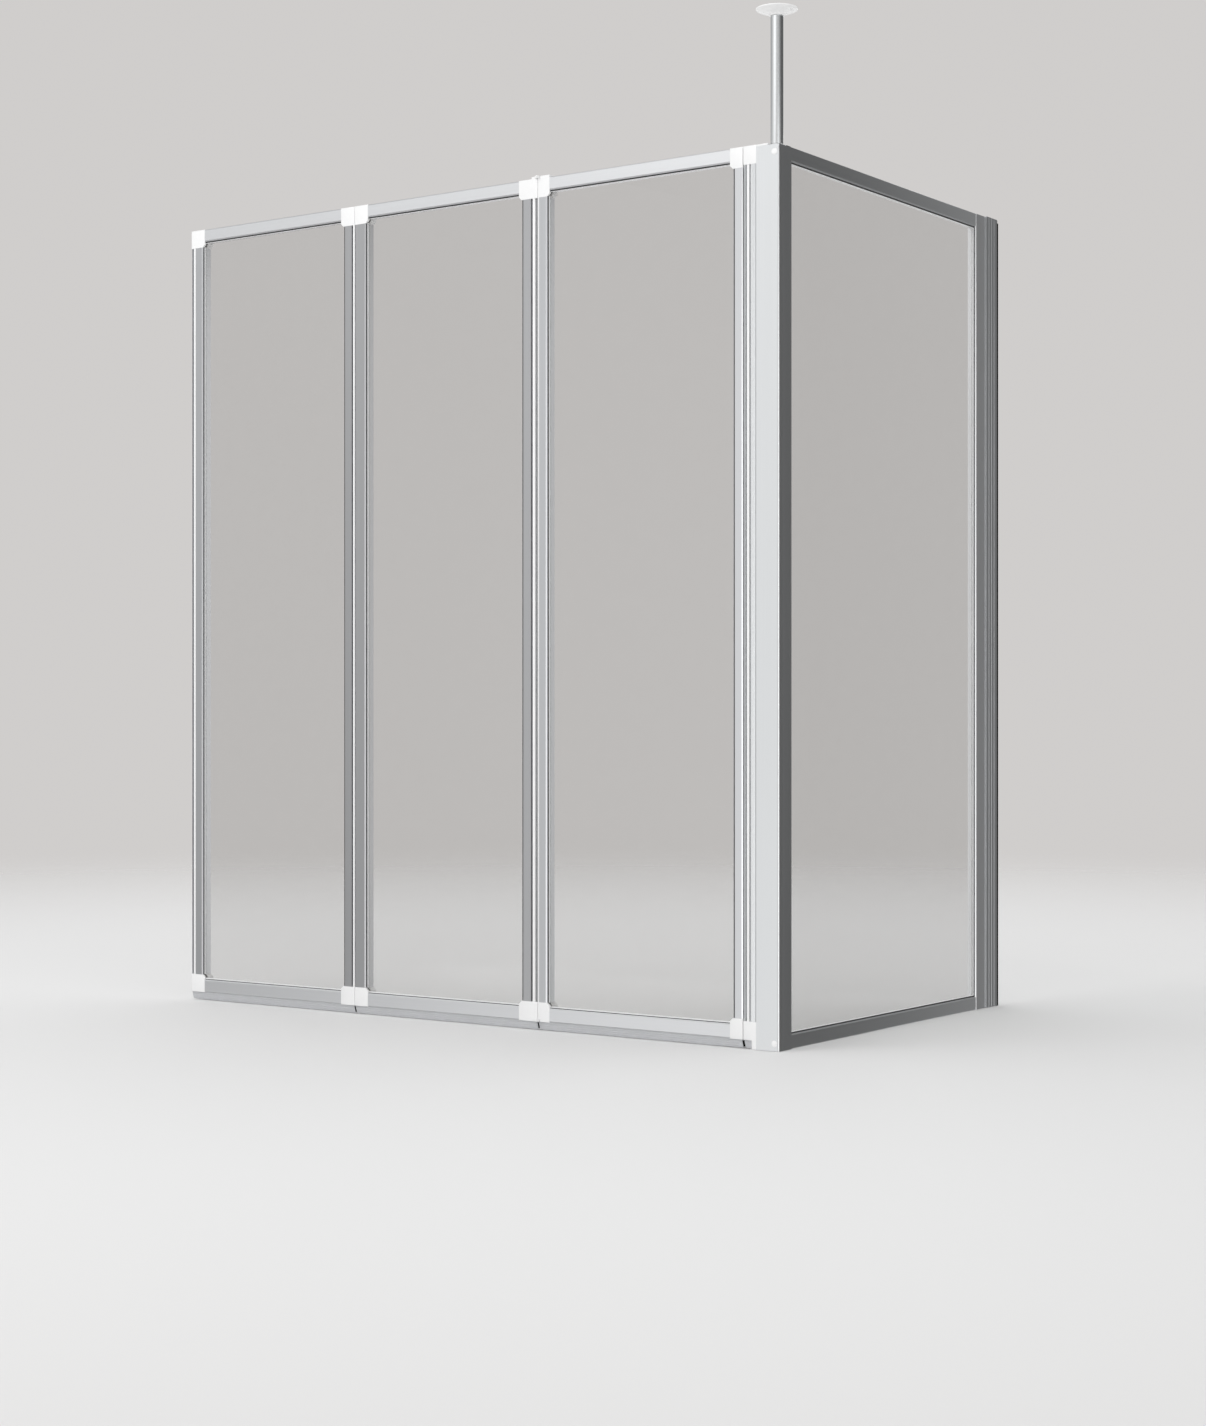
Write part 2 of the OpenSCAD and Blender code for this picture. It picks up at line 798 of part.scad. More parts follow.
module hinge_profile() {
    w = hinge_profile_w;
    front = groove_d + wall;
    color(aluminium)
        difference() {
            at_hinge_profile()
                translate([0, 0, hinge_profile_z0])
                    linear_extrude(hinge_profile_l)
                        difference() {
                            polygon([
                                [outer_bevel, 0], [w - joint_w, 0], [w - joint_w, joint_d],
                                [w, joint_d], [w, frame_d], [back_bevel, frame_d],
                                [0, frame_d - back_bevel], [0, outer_bevel]
                            ]);
                            // Three fine grooves beside the post
                            for (k = [1 : 3])
                                translate([w - joint_w - k * rib_gap, 0])
                                    rotate(45)
                                        square(rib_cut * sqrt(2), center = true);
                            translate([profile_groove[0], -over])
                                square([profile_groove[1], groove_d + over]);
                            translate([wall, front])
                                square([w - 2 * wall, frame_d - front - wall]);
                        }
            for (z = screw_z)
                translate([hinge_screw_x - over, hinge_screw_y, z])
                    rotate([0, 90, 0])
                        cylinder(r = screw_r + thread_play, h = wall + 2 * over);
        }
}

// Cap of the hinge profile, hanging down from z = 0, with its tongue in the hollow
module profile_cap_body() {
    front = groove_d + wall;
    translate([0, 0, -hinge_cap_h])
        cube([hinge_profile_w, frame_d, hinge_cap_h]);
    translate([wall + fit, front + fit, -hinge_cap_h - tongue_l])
        cube([
            hinge_profile_w - 2 * (wall + fit), frame_d - front - wall - 2 * fit,
            tongue_l + eps
        ]);
}

module hinge_profile_top_cap() {
    color(white)
        at_hinge_profile()
            from_top_edge()
                with_barrel(1, pin_r + hold_fit, near_gap)
                    profile_cap_body();
}

module hinge_profile_bottom_cap() {
    color(white)
        at_hinge_profile() {
            from_underside()
                with_barrel(0, pin_r + hold_fit, near_gap)
                    profile_cap_body();
            translate([hinge_profile_w - hinge_foot_w, 0, 0])
                cube([hinge_foot_w, frame_d, frame_lift + eps]);
        }
}

module hinge_profile_seal() {
    color(white)
        at_hinge_profile()
            strip(profile_groove, profile_strip, hinge_profile_z0, hinge_profile_l);
}

// Short lip seal between the near panel's seal and the foot of the hinge profile's cap
module hinge_profile_drip_seal() {
    color(pale_seal)
        at_hinge_profile()
            drip_seal(
                hinge_profile_w - hinge_foot_w - drip_foot_play,
                [drip_end_in, 0, drip_end_in + drip_slant, 0]
            );
}

module near_hinge_pins() {
    color(steel)
        in_panel(NEAR)
            barrel_pins(near_gap);
}

// These pins' heads are in view, so they are enamelled white
module middle_hinge_pins() {
    color(white)
        in_panel(MIDDLE)
            ear_pins();
}

module end_hinge_pins() {
    color(steel)
        in_panel(END)
            barrel_pins(hinge_gap);
}

// Screws of the post, of the hinge profile, of the wall profile and of the side frame's corners
module frame_screw(l) {
    translate([0, 0, -screw_head_h])
        cylinder(r = screw_head_r, h = screw_head_h);
    translate([0, 0, -eps])
        cylinder(r = screw_r, h = l + eps);
}

module frame_screws() {
    color(steel) {
        for (z = cover_z)
            translate([cover_x, web_y0, z])
                rotate([-90, 0, 0])
                    frame_screw(post_screw_l);
        for (z = screw_z) {
            translate([hinge_screw_x, hinge_screw_y, z])
                rotate([0, 90, 0])
                    frame_screw(hinge_screw_l);
            translate([wall_screw_x, wall_screw_y, z])
                rotate([0, 90, 0])
                    frame_screw(wall_screw_l);
        }
        for (z = rail_screw_z) {
            translate([side_glass_x, side_wall_y0 + slot_d + wall, z])
                rotate([90, 0, 0])
                    frame_screw(rail_screw_l);
            translate([side_glass_x, side_front_y1 - slot_d - wall, z])
                rotate([-90, 0, 0])
                    frame_screw(rail_screw_l);
        }
    }
}

// A bar of the side frame: its section stands in X and its own depth is the frame's thickness
module side_rail() {
    rotate([0, 0, 90])
        translate([0, -side_t / 2, 0])
            rotate([0, 90, 0])
                linear_extrude(side_rail_l) {
                    difference() {
                        union() {
                            bar_section(side_rail_h, side_t, side_glass_v, no_groove, back_bevel);
                            translate([rail_port_in, side_glass_v])
                                circle(r = screw_r + rail_port_wall);
                            translate([wall / 2, side_glass_v - wall / 2])
                                square([side_rail_h - slot_d - wall, wall]);
                        }
                        translate([rail_port_in, side_glass_v])
                            circle(r = screw_r + thread_play);
                    }
                }
}

module side_top_rail() {
    color(aluminium)
        translate([0, side_front_y1, side_h])
            side_rail();
}

module side_bottom_rail() {
    color(aluminium)
        translate([0, side_front_y1, 0])
            mirror([0, 0, 1])
                side_rail();
}

module side_stile(w) {
    translate([side_t / 2, 0, 0])
        rotate([0, 0, 90])
            difference() {
                linear_extrude(side_h)
                    bar_section(w, side_t, side_glass_v, no_groove, back_bevel);
                for (z = rail_screw_z)
                    translate([w - slot_d - wall - over, side_glass_v, z])
                        rotate([0, 90, 0])
                            cylinder(r = screw_r + thread_play, h = wall + 2 * over);
            }
}

module side_front_stile() {
    color(aluminium)
        difference() {
            translate([0, side_front_y0, 0])
                side_stile(side_front_stile_w);
            for (z = cover_z)
                translate([cover_x, side_front_y0 - over, z])
                    rotate([-90, 0, 0])
                        cylinder(r = screw_r + thread_play, h = wall + 2 * over);
        }
}

module side_wall_stile() {
    color(aluminium)
        difference() {
            translate([0, side_wall_y0 + side_wall_stile_w, 0])
                mirror([0, 1, 0])
                    side_stile(side_wall_stile_w);
            for (z = screw_z)
                translate([-side_t / 2 - over, wall_screw_y, z])
                    rotate([0, 90, 0])
                        cylinder(r = screw_r + thread_play, h = wall + 2 * over);
        }
}

module in_side_opening() {
    translate([side_glass_x, side_front_y1, side_rail_h])
        rotate([0, 0, 90])
            children();
}

module side_glass() {
    color(clear)
        in_side_opening()
            pane(side_rail_l, side_opening_h);
}

module side_gaskets() {
    color(pale_seal)
        in_side_opening()
            gasket_frame(side_rail_l, side_opening_h);
}

module wall_profile() {
    half = side_t / 2 + slide_fit;
    outer = half + wall_profile_wall;
    line_gap = 10;
    line_cut = 0.6;
    color(aluminium)
        difference() {
            linear_extrude(wall_profile_h)
                difference() {
                    translate([-outer, -wall_profile_d])
                        square([2 * outer, wall_profile_d]);
                    translate([-half, -wall_profile_d - over])
                        square([2 * half, wall_profile_d - wall_profile_back + over]);
                    // Step for the seal strip
                    translate([half, -wall_seal_d])
                        square([wall_profile_wall + over, wall_seal_d + over]);
                    // Three fine grooves in the outer face
                    for (k = [1 : 3])
                        translate([outer, -wall_profile_d + k * line_gap])
                            rotate(45)
                                square(line_cut * sqrt(2), center = true);
                }
            for (z = wall_hole_z)
                translate([0, over, z])
                    rotate([90, 0, 0])
                        cylinder(r = wall_hole_r, h = wall_profile_back + 2 * over);
            for (z = screw_z)
                translate([-outer - over, wall_screw_y, z])
                    rotate([0, 90, 0])
                        cylinder(r = screw_r + thread_play, h = wall_profile_wall + 2 * over);
        }
}

module wall_seal_strip() {
    color(black_seal)
        translate([side_t / 2 + slide_fit, -wall_seal_d, 0])
            cube([wall_profile_wall, wall_seal_d, wall_profile_h - wall_seal_top_in]);
}

module strut_plug() {
    color(white)
        translate([strut_x, strut_y, 0]) {
            translate([0, 0, post_h - strut_peg_l])
                cylinder(r = strut_peg_r, h = strut_peg_l + eps);
            translate([0, 0, post_h])
                cylinder(r = strut_r, h = strut_collar_h);
            translate([0, 0, strut_z0 - eps])
                cylinder(r = spigot_r, h = spigot_l);
        }
}

module ceiling_strut() {
    color(aluminium)
        translate([strut_x, strut_y, strut_z0])
            difference() {
                cylinder(r = strut_r, h = flange_z0 - strut_z0);
                translate([0, 0, -over])
                    cylinder(r = strut_r - strut_wall, h = flange_z0 - strut_z0 + 2 * over);
            }
}

module ceiling_flange() {
    neck_step = 3;
    neck_h = 2;
    rim_step = 2;
    neck_r = strut_r + neck_step;
    rim_r = flange_r - rim_step;
    color(white)
        translate([strut_x, strut_y, flange_z0])
            difference() {
                rotate_extrude()
                    polygon([
                        [0, -spigot_l], [spigot_r, -spigot_l], [spigot_r, 0], [neck_r, 0],
                        [neck_r, neck_h], [rim_r, flange_h - flange_rim],
                        [flange_r, flange_h - flange_rim / 2], [flange_r, flange_h],
                        [0, flange_h]
                    ]);
                for (side = [-1, 1])
                    translate([side * flange_hole_gap / 2, 0, 0])
                        cylinder(r = flange_hole_r, h = flange_h + over);
            }
}

module near_top_rail() color(aluminium) panel_top_rail(NEAR);
module near_bottom_rail() color(aluminium) panel_bottom_rail(NEAR);
module near_post_stile() color(aluminium) panel_post_stile(NEAR);
module near_free_stile() color(aluminium) panel_free_stile(NEAR);
module near_post_top_corner() color(white) panel_post_top_corner(NEAR);
module near_post_bottom_corner() color(white) panel_post_bottom_corner(NEAR);
module near_free_top_corner() color(white) panel_free_top_corner(NEAR);
module near_free_bottom_corner() color(white) panel_free_bottom_corner(NEAR);
module near_glass() color(clear) panel_glass(NEAR);
module near_gaskets() color(pale_seal) panel_gaskets(NEAR);
module near_drip_seal() color(pale_seal) panel_drip_seal(NEAR);
module near_free_seal()
    color(white) in_panel(NEAR) from_free_edge(NEAR) strip(near_free_groove, near_free_strip);

module middle_top_rail() color(aluminium) panel_top_rail(MIDDLE);
module middle_bottom_rail() color(aluminium) panel_bottom_rail(MIDDLE);
module middle_post_stile() color(aluminium) panel_post_stile(MIDDLE);
module middle_free_stile() color(aluminium) panel_free_stile(MIDDLE);
module middle_post_top_corner() color(white) panel_post_top_corner(MIDDLE);
module middle_post_bottom_corner() color(white) panel_post_bottom_corner(MIDDLE);
module middle_free_top_corner() color(white) panel_free_top_corner(MIDDLE);
module middle_free_bottom_corner() color(white) panel_free_bottom_corner(MIDDLE);
module middle_glass() color(clear) panel_glass(MIDDLE);
module middle_gaskets() color(pale_seal) panel_gaskets(MIDDLE);
module middle_drip_seal() color(pale_seal) panel_drip_seal(MIDDLE);
module middle_hinge_seal() color(white) in_panel(MIDDLE) strip(middle_groove, middle_strip);

module end_top_rail() color(aluminium) panel_top_rail(END);
module end_bottom_rail() color(aluminium) panel_bottom_rail(END);
module end_post_stile() color(aluminium) panel_post_stile(END);
module end_free_stile() color(aluminium) panel_free_stile(END);
module end_post_top_corner() color(white) panel_post_top_corner(END);
module end_post_bottom_corner() color(white) panel_post_bottom_corner(END);
module end_free_top_corner() color(white) panel_free_top_corner(END);
module end_free_bottom_corner() color(white) panel_free_bottom_corner(END);
module end_glass() color(clear) panel_glass(END);
module end_gaskets() color(pale_seal) panel_gaskets(END);
module end_drip_seal() color(pale_seal) panel_drip_seal(END);
module end_hinge_seal() color(white) in_panel(END) strip(end_groove, end_strip);
module end_free_seal()
    color(white) in_panel(END) from_free_edge(END) strip(free_groove, free_strip);

corner_post();
post_top_cap();
post_screw_covers();
hinge_profile();
hinge_profile_top_cap();
hinge_profile_bottom_cap();
hinge_profile_seal();
hinge_profile_drip_seal();
frame_screws();
side_top_rail();
side_bottom_rail();
side_front_stile();
side_wall_stile();
side_glass();
side_gaskets();
wall_profile();
wall_seal_strip();
ceiling_strut();
strut_plug();
ceiling_flange();
near_hinge_pins();
near_top_rail();
near_bottom_rail();
near_post_stile();
near_free_stile();
near_post_top_corner();
near_post_bottom_corner();
near_free_top_corner();
near_free_bottom_corner();
near_glass();
near_gaskets();
near_drip_seal();
near_free_seal();
middle_hinge_pins();
middle_top_rail();
middle_bottom_rail();
middle_post_stile();
middle_free_stile();
middle_post_top_corner();
middle_post_bottom_corner();
middle_free_top_corner();
middle_free_bottom_corner();
middle_glass();
middle_gaskets();
middle_drip_seal();
middle_hinge_seal();
end_hinge_pins();
end_top_rail();
end_bottom_rail();
end_post_stile();
end_free_stile();
end_post_top_corner();
end_post_bottom_corner();
end_free_top_corner();
end_free_bottom_corner();
end_glass();
end_gaskets();
end_drip_seal();
end_hinge_seal();
end_free_seal();
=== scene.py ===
import json
import math

import bmesh
import bpy
import numpy as np
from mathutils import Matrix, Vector


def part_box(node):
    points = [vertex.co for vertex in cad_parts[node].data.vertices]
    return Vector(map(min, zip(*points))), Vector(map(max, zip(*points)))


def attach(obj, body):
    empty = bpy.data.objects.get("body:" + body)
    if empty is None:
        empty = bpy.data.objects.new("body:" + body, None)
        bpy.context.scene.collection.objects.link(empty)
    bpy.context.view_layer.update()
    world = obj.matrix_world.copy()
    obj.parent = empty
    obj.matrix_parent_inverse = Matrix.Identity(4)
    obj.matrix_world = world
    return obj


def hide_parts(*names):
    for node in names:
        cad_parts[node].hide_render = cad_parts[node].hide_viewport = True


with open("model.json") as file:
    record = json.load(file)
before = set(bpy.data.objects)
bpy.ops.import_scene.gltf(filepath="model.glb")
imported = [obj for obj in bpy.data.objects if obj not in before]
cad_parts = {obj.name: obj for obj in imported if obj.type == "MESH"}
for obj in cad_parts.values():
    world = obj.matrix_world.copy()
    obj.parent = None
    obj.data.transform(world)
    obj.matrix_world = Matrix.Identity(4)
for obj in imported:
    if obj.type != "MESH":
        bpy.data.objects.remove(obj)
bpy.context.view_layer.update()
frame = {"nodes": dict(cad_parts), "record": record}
nodes = frame["nodes"]
slotOf = {row["node"]: row["material_slot"] for row in frame["record"]["subparts"]}
bodyOf = {node: body for body, names in frame["record"]["behaviour"]["bodies"].items() for node in names}
print("frame loaded:", len(nodes), "nodes")

# Camera. Its place and focal length were fitted to the photograph's edges.
camera = {
    "imageHeight": 1426,                # pixels
    "focalLength": 2499.8,              # pixels
    "horizonBelowMiddle": 2.2,          # pixels
    "place": (2.0035, -4.0518, 0.5175),
    "turn": math.radians(35.17),        # from +Y towards -X
    "sensor": 36.0,
    "farthest": 60.0,
}


def addCamera(c):
    data = bpy.data.cameras.new("camera")
    data.sensor_width = c["sensor"]
    data.lens = c["sensor"] * c["focalLength"] / c["imageHeight"]
    data.shift_y = c["horizonBelowMiddle"] / c["imageHeight"]
    data.clip_end = c["farthest"]
    view = bpy.data.objects.new("camera", data)
    view.location = c["place"]
    view.rotation_euler = (math.pi / 2, 0.0, c["turn"])
    bpy.context.scene.collection.objects.link(view)
    bpy.context.scene.camera = view


addCamera(camera)
print("camera placed")


# Shader groups


def newGroup(name, inputs, outputs):
    tree = bpy.data.node_groups.new(name, "ShaderNodeTree")
    for label, kind, value in inputs:
        socket = tree.interface.new_socket(label, in_out="INPUT", socket_type=kind)
        if value is not None:
            socket.default_value = value
    for label, kind in outputs:
        tree.interface.new_socket(label, in_out="OUTPUT", socket_type=kind)
    return tree, tree.nodes.new("NodeGroupInput"), tree.nodes.new("NodeGroupOutput")


def addNode(tree, kind, settings=None, **inputs):
    node = tree.nodes.new(kind)
    for key, value in (settings or {}).items():
        setattr(node, key, value)
    for key, value in inputs.items():
        feed(tree, node.inputs[key.replace("_", " ")], value)
    return node


def feed(tree, socket, value):
    if isinstance(value, bpy.types.NodeSocket):
        tree.links.new(value, socket)
    else:
        socket.default_value = value


def calculate(tree, operation, a, b=None, clamp=False):
    node = tree.nodes.new("ShaderNodeMath")
    node.operation = operation
    node.use_clamp = clamp
    feed(tree, node.inputs[0], a)
    if b is not None:
        feed(tree, node.inputs[1], b)
    return node.outputs[0]


def blendColours(tree, amount, a, b):
    # A Mix node has sockets for each kind of data, and 6, 7 and 2 are those for colours
    node = tree.nodes.new("ShaderNodeMix")
    node.data_type = "RGBA"
    feed(tree, node.inputs["Factor"], amount)
    feed(tree, node.inputs[6], a)
    feed(tree, node.inputs[7], b)
    return node.outputs[2]


def mapRange(tree, value, source, target=(0.0, 1.0), kind="SMOOTHSTEP"):
    return addNode(
        tree, "ShaderNodeMapRange", {"interpolation_type": kind}, Value=value,
        From_Min=source[0], From_Max=source[1], To_Min=target[0], To_Max=target[1],
    ).outputs[0]


def mixShaders(tree, amount, first, second):
    mix = tree.nodes.new("ShaderNodeMixShader")
    for socket, value in zip(mix.inputs, (amount, first, second)):
        feed(tree, socket, value)
    return mix.outputs[0]


def noise(tree, vector, scale, detail, roughness):
    return addNode(
        tree, "ShaderNodeTexNoise", {}, Vector=vector, Scale=scale, Detail=detail, Roughness=roughness
    ).outputs["Fac"]


def swing(tree, pattern, amount, middle, clamp=False):
    # middle + amount (pattern - mean), where a noise has its mean at a half
    mean = 0.5
    away = calculate(tree, "MULTIPLY", calculate(tree, "SUBTRACT", pattern, mean), amount)
    return calculate(tree, "ADD", away, middle, clamp)


def wireSkin(tree, source, result, pattern, tone, height):
    # Colour = base (1 + tone (pattern - mean)), and the roughness swings about its own value by the spread
    scaled = addNode(tree, "ShaderNodeVectorMath", {"operation": "SCALE"})
    feed(tree, scaled.inputs[0], source.outputs["Base"])
    feed(tree, scaled.inputs["Scale"], swing(tree, pattern, source.outputs[tone], 1.0))
    rough = swing(tree, pattern, source.outputs["Spread"], source.outputs["Roughness"], True)
    feed(tree, result.inputs["Colour"], scaled.outputs[0])
    feed(tree, result.inputs["Roughness"], rough)
    feed(tree, result.inputs["Height"], height)


dieLines = {
    "fine": {"scale": 900.0, "detail": 3.0, "roughness": 0.6},
    "fineShare": 0.6,
    "broad": {"scale": 90.0, "detail": 2.0, "roughness": 0.5},
    "broadShare": 0.4,
}


def makeDrawnGroup(d):
    # Die lines of an extruded bar. Vector is squeezed along the bar, so that the noise becomes streaks.
    tree, source, result = newGroup(
        "dieLines",
        [("Vector", "NodeSocketVector", None), ("Base", "NodeSocketColor", (0.7, 0.7, 0.7, 1)),
         ("Tone", "NodeSocketFloat", 0.06), ("Roughness", "NodeSocketFloat", 0.35),
         ("Spread", "NodeSocketFloat", 0.1)],
        [("Colour", "NodeSocketColor"), ("Roughness", "NodeSocketFloat"), ("Height", "NodeSocketFloat")],
    )
    vector = source.outputs["Vector"]
    fine = calculate(tree, "MULTIPLY", noise(tree, vector, **d["fine"]), d["fineShare"])
    broad = calculate(tree, "MULTIPLY", noise(tree, vector, **d["broad"]), d["broadShare"])
    both = calculate(tree, "ADD", fine, broad)
    wireSkin(tree, source, result, both, "Tone", both)
    return tree


mouldedSkin = {
    "skin": {"detail": 2.0, "roughness": 0.55},
    "cloud": {"scale": 35.0, "detail": 3.0, "roughness": 0.5},
}


def makeMouldGroup(m):
    # Fine eroded skin and slight colour drift of moulded or extruded plastic
    tree, source, result = newGroup(
        "mouldedSkin",
        [("Vector", "NodeSocketVector", None), ("Base", "NodeSocketColor", (0.9, 0.9, 0.9, 1)),
         ("Drift", "NodeSocketFloat", 0.03), ("Grain", "NodeSocketFloat", 2500.0),
         ("Roughness", "NodeSocketFloat", 0.35), ("Spread", "NodeSocketFloat", 0.1)],
        [("Colour", "NodeSocketColor"), ("Roughness", "NodeSocketFloat"), ("Height", "NodeSocketFloat")],
    )
    vector = source.outputs["Vector"]
    skin = noise(tree, vector, source.outputs["Grain"], **m["skin"])
    cloud = noise(tree, vector, **m["cloud"])
    wireSkin(tree, source, result, cloud, "Drift", skin)
    return tree


drawnGroup = makeDrawnGroup(dieLines)
mouldGroup = makeMouldGroup(mouldedSkin)


# Materials


def newMaterial(name):
    material = bpy.data.materials.new(name)
    material.use_nodes = True
    tree = material.node_tree
    tree.nodes.clear()
    output = tree.nodes.new("ShaderNodeOutputMaterial")
    shader = tree.nodes.new("ShaderNodeBsdfPrincipled")
    tree.links.new(shader.outputs[0], output.inputs["Surface"])
    return material, tree, shader, output


def objectPlace(tree, scale=(1.0, 1.0, 1.0)):
    place = tree.nodes.new("ShaderNodeTexCoord").outputs["Object"]
    return addNode(tree, "ShaderNodeMapping", {}, Vector=place, Scale=scale).outputs[0]


def placeGroup(tree, group, **values):
    node = tree.nodes.new("ShaderNodeGroup")
    node.node_tree = group
    for key, value in values.items():
        feed(tree, node.inputs[key], value)
    return node


def addBump(tree, shader, height, strength, distance):
    bump = addNode(tree, "ShaderNodeBump", {}, Height=height, Strength=strength, Distance=distance)
    feed(tree, shader.inputs["Normal"], bump.outputs[0])


aluminium = {
    "base": (0.74, 0.755, 0.765, 1.0),
    "roughness": 0.36,
    "spread": 0.16,
    "tone": 0.10,
    "squeeze": 0.004,       # width of the streaks against their length
    "bump": 0.25,
    "depth": 0.00004,
}


def makeAluminium(name, along, a=aluminium, **changes):
    a = {**a, **changes}
    material, tree, shader, _ = newMaterial(name)
    scale = [1.0, 1.0, 1.0]
    scale["xyz".index(along)] = a["squeeze"]
    lines = placeGroup(
        tree, drawnGroup, Vector=objectPlace(tree, scale), Base=a["base"], Tone=a["tone"],
        Roughness=a["roughness"], Spread=a["spread"],
    )
    feed(tree, shader.inputs["Base Color"], lines.outputs["Colour"])
    feed(tree, shader.inputs["Roughness"], lines.outputs["Roughness"])
    shader.inputs["Metallic"].default_value = 1.0
    addBump(tree, shader, lines.outputs["Height"], a["bump"], a["depth"])
    return material


plastic = {
    "grain": 2500.0,
    "drift": 0.03,
    "spread": 0.1,
    "bump": 0.1,
    "depth": 0.00003,
    "transmission": 0.0,
    "specular": 0.5,
    "coat": 0.0,
}


def makePlastic(name, base, roughness, p=plastic, **changes):
    p = {**p, **changes}
    material, tree, shader, _ = newMaterial(name)
    skin = placeGroup(
        tree, mouldGroup, Vector=objectPlace(tree), Base=(*base, 1.0), Drift=p["drift"],
        Grain=p["grain"], Roughness=roughness, Spread=p["spread"],
    )
    feed(tree, shader.inputs["Base Color"], skin.outputs["Colour"])
    feed(tree, shader.inputs["Roughness"], skin.outputs["Roughness"])
    shader.inputs["Transmission Weight"].default_value = p["transmission"]
    shader.inputs["Specular IOR Level"].default_value = p["specular"]
    shader.inputs["Coat Weight"].default_value = p["coat"]
    addBump(tree, shader, skin.outputs["Height"], p["bump"], p["depth"])
    return material


glass = {
    "tint": (0.79, 0.785, 0.78, 1.0),
    "roughness": 0.0,
    "ior": 1.45,
    "drift": 0.02,
    "grain": 60.0,
    "spread": 0.01,
    "shade": (0.90, 0.92, 0.91, 1.0),      # of the light that falls through a pane
}


def makeGlass(name, g):
    material, tree, shader, output = newMaterial(name)
    skin = placeGroup(
        tree, mouldGroup, Vector=objectPlace(tree), Base=g["tint"], Drift=g["drift"],
        Grain=g["grain"], Roughness=g["roughness"], Spread=g["spread"],
    )
    feed(tree, shader.inputs["Base Color"], skin.outputs["Colour"])
    feed(tree, shader.inputs["Roughness"], skin.outputs["Roughness"])
    shader.inputs["Transmission Weight"].default_value = 1.0
    shader.inputs["IOR"].default_value = g["ior"]
    # Lets lamplight through to what is behind the pane
    shadow = tree.nodes.new("ShaderNodeLightPath").outputs["Is Shadow Ray"]
    clear = tree.nodes.new("ShaderNodeBsdfTransparent")
    clear.inputs["Color"].default_value = g["shade"]
    feed(tree, output.inputs["Surface"], mixShaders(tree, shadow, shader.outputs[0], clear.outputs[0]))
    return material


# Lit and shaded copies of one aluminium: the uprights, the front rails, the wall stile and the wall profile
# get lighter or darker bases for how light falls on each, as painted light and shade
uprightAluminium = makeAluminium("uprightAluminium", "z", base=(0.595, 0.605, 0.62, 1.0))
paintedLitUprightAluminium = makeAluminium("paintedLitUprightAluminium", "z", base=(0.67, 0.68, 0.695, 1.0))
paintedShadeUprightAluminium = makeAluminium("paintedShadeUprightAluminium", "z", base=(0.50, 0.505, 0.515, 1.0))
postAluminium = makeAluminium("postAluminium", "z")
wallStileAluminium = makeAluminium("wallStileAluminium", "z", base=(0.68, 0.69, 0.70, 1.0))
wallAluminium = makeAluminium("wallAluminium", "z", base=(0.52, 0.53, 0.54, 1.0))
frontRailAluminium = makeAluminium("frontRailAluminium", "x", base=(0.79, 0.80, 0.815, 1.0), roughness=0.46)
sideRailAluminium = makeAluminium("sideRailAluminium", "y")
tubeAluminium = makeAluminium("tubeAluminium", "z", roughness=0.22, spread=0.08)
brightSteel = makeAluminium("brightSteel", "z", base=(0.60, 0.61, 0.63, 1.0), roughness=0.25, squeeze=0.2)
whitePlastic = makePlastic("whitePlastic", (0.93, 0.93, 0.93), 0.34, coat=0.15)
whiteEnamel = makePlastic("whiteEnamel", (0.92, 0.92, 0.92), 0.25, grain=600.0, drift=0.02, coat=0.3)
clearGlass = makeGlass("clearGlass", glass)
clearSeal = makePlastic("clearSeal", (0.70, 0.71, 0.73), 0.38, grain=900.0, transmission=0.3)
paleLip = makePlastic("paleLip", (0.92, 0.925, 0.93), 0.4, grain=900.0, transmission=0.1)
whiteSeal = makePlastic("whiteSeal", (0.95, 0.95, 0.95), 0.45, grain=900.0)
blackSeal = makePlastic("blackSeal", (0.006, 0.006, 0.006), 0.75, grain=900.0, drift=0.2, specular=0.05)
darkSeal = makePlastic("darkSeal", (0.045, 0.045, 0.047), 0.6, grain=900.0, drift=0.2, specular=0.2)

plainMaterials = {
    "white_plastic": whitePlastic,
    "clear_glass": clearGlass,
    "clear_seal": clearSeal,
    "white_seal": whiteSeal,
    "black_seal": blackSeal,
    "steel": brightSteel,
}


# Nodes whose material isn't the usual one of their slot. For the stiles and the wall profile these are the
# lighter and darker aluminium copies, painted light and shade.
ownMaterials = {
    "middle_hinge_pins": whiteEnamel,
    "ceiling_strut": tubeAluminium,
    "side_top_rail": sideRailAluminium,
    "side_bottom_rail": sideRailAluminium,
    "side_wall_stile": wallStileAluminium,
    "wall_profile": wallAluminium,
    "near_post_stile": paintedLitUprightAluminium,
    "middle_post_stile": paintedShadeUprightAluminium,
    "middle_free_stile": paintedShadeUprightAluminium,
    "end_post_stile": paintedShadeUprightAluminium,
}


def aluminiumFor(node):
    if node.endswith("_rail"):
        return frontRailAluminium
    return uprightAluminium if node.endswith("_stile") and bodyOf[node] != "fixed_frame" else postAluminium


for name, piece in nodes.items():
    material = ownMaterials.get(name) or plainMaterials.get(slotOf[name]) or aluminiumFor(name)
    piece.data.materials.clear()
    piece.data.materials.append(material)
print("materials set")


# Meshes


def makeSurface(name, points, faces, smoothAngle=None):
    mesh = bpy.data.meshes.new(name)
    mesh.from_pydata(np.asarray(points).reshape(-1, 3).tolist(), [], [list(face) for face in faces])
    finishMesh(mesh, smoothAngle)
    piece = bpy.data.objects.new(name, mesh)
    bpy.context.scene.collection.objects.link(piece)
    return piece


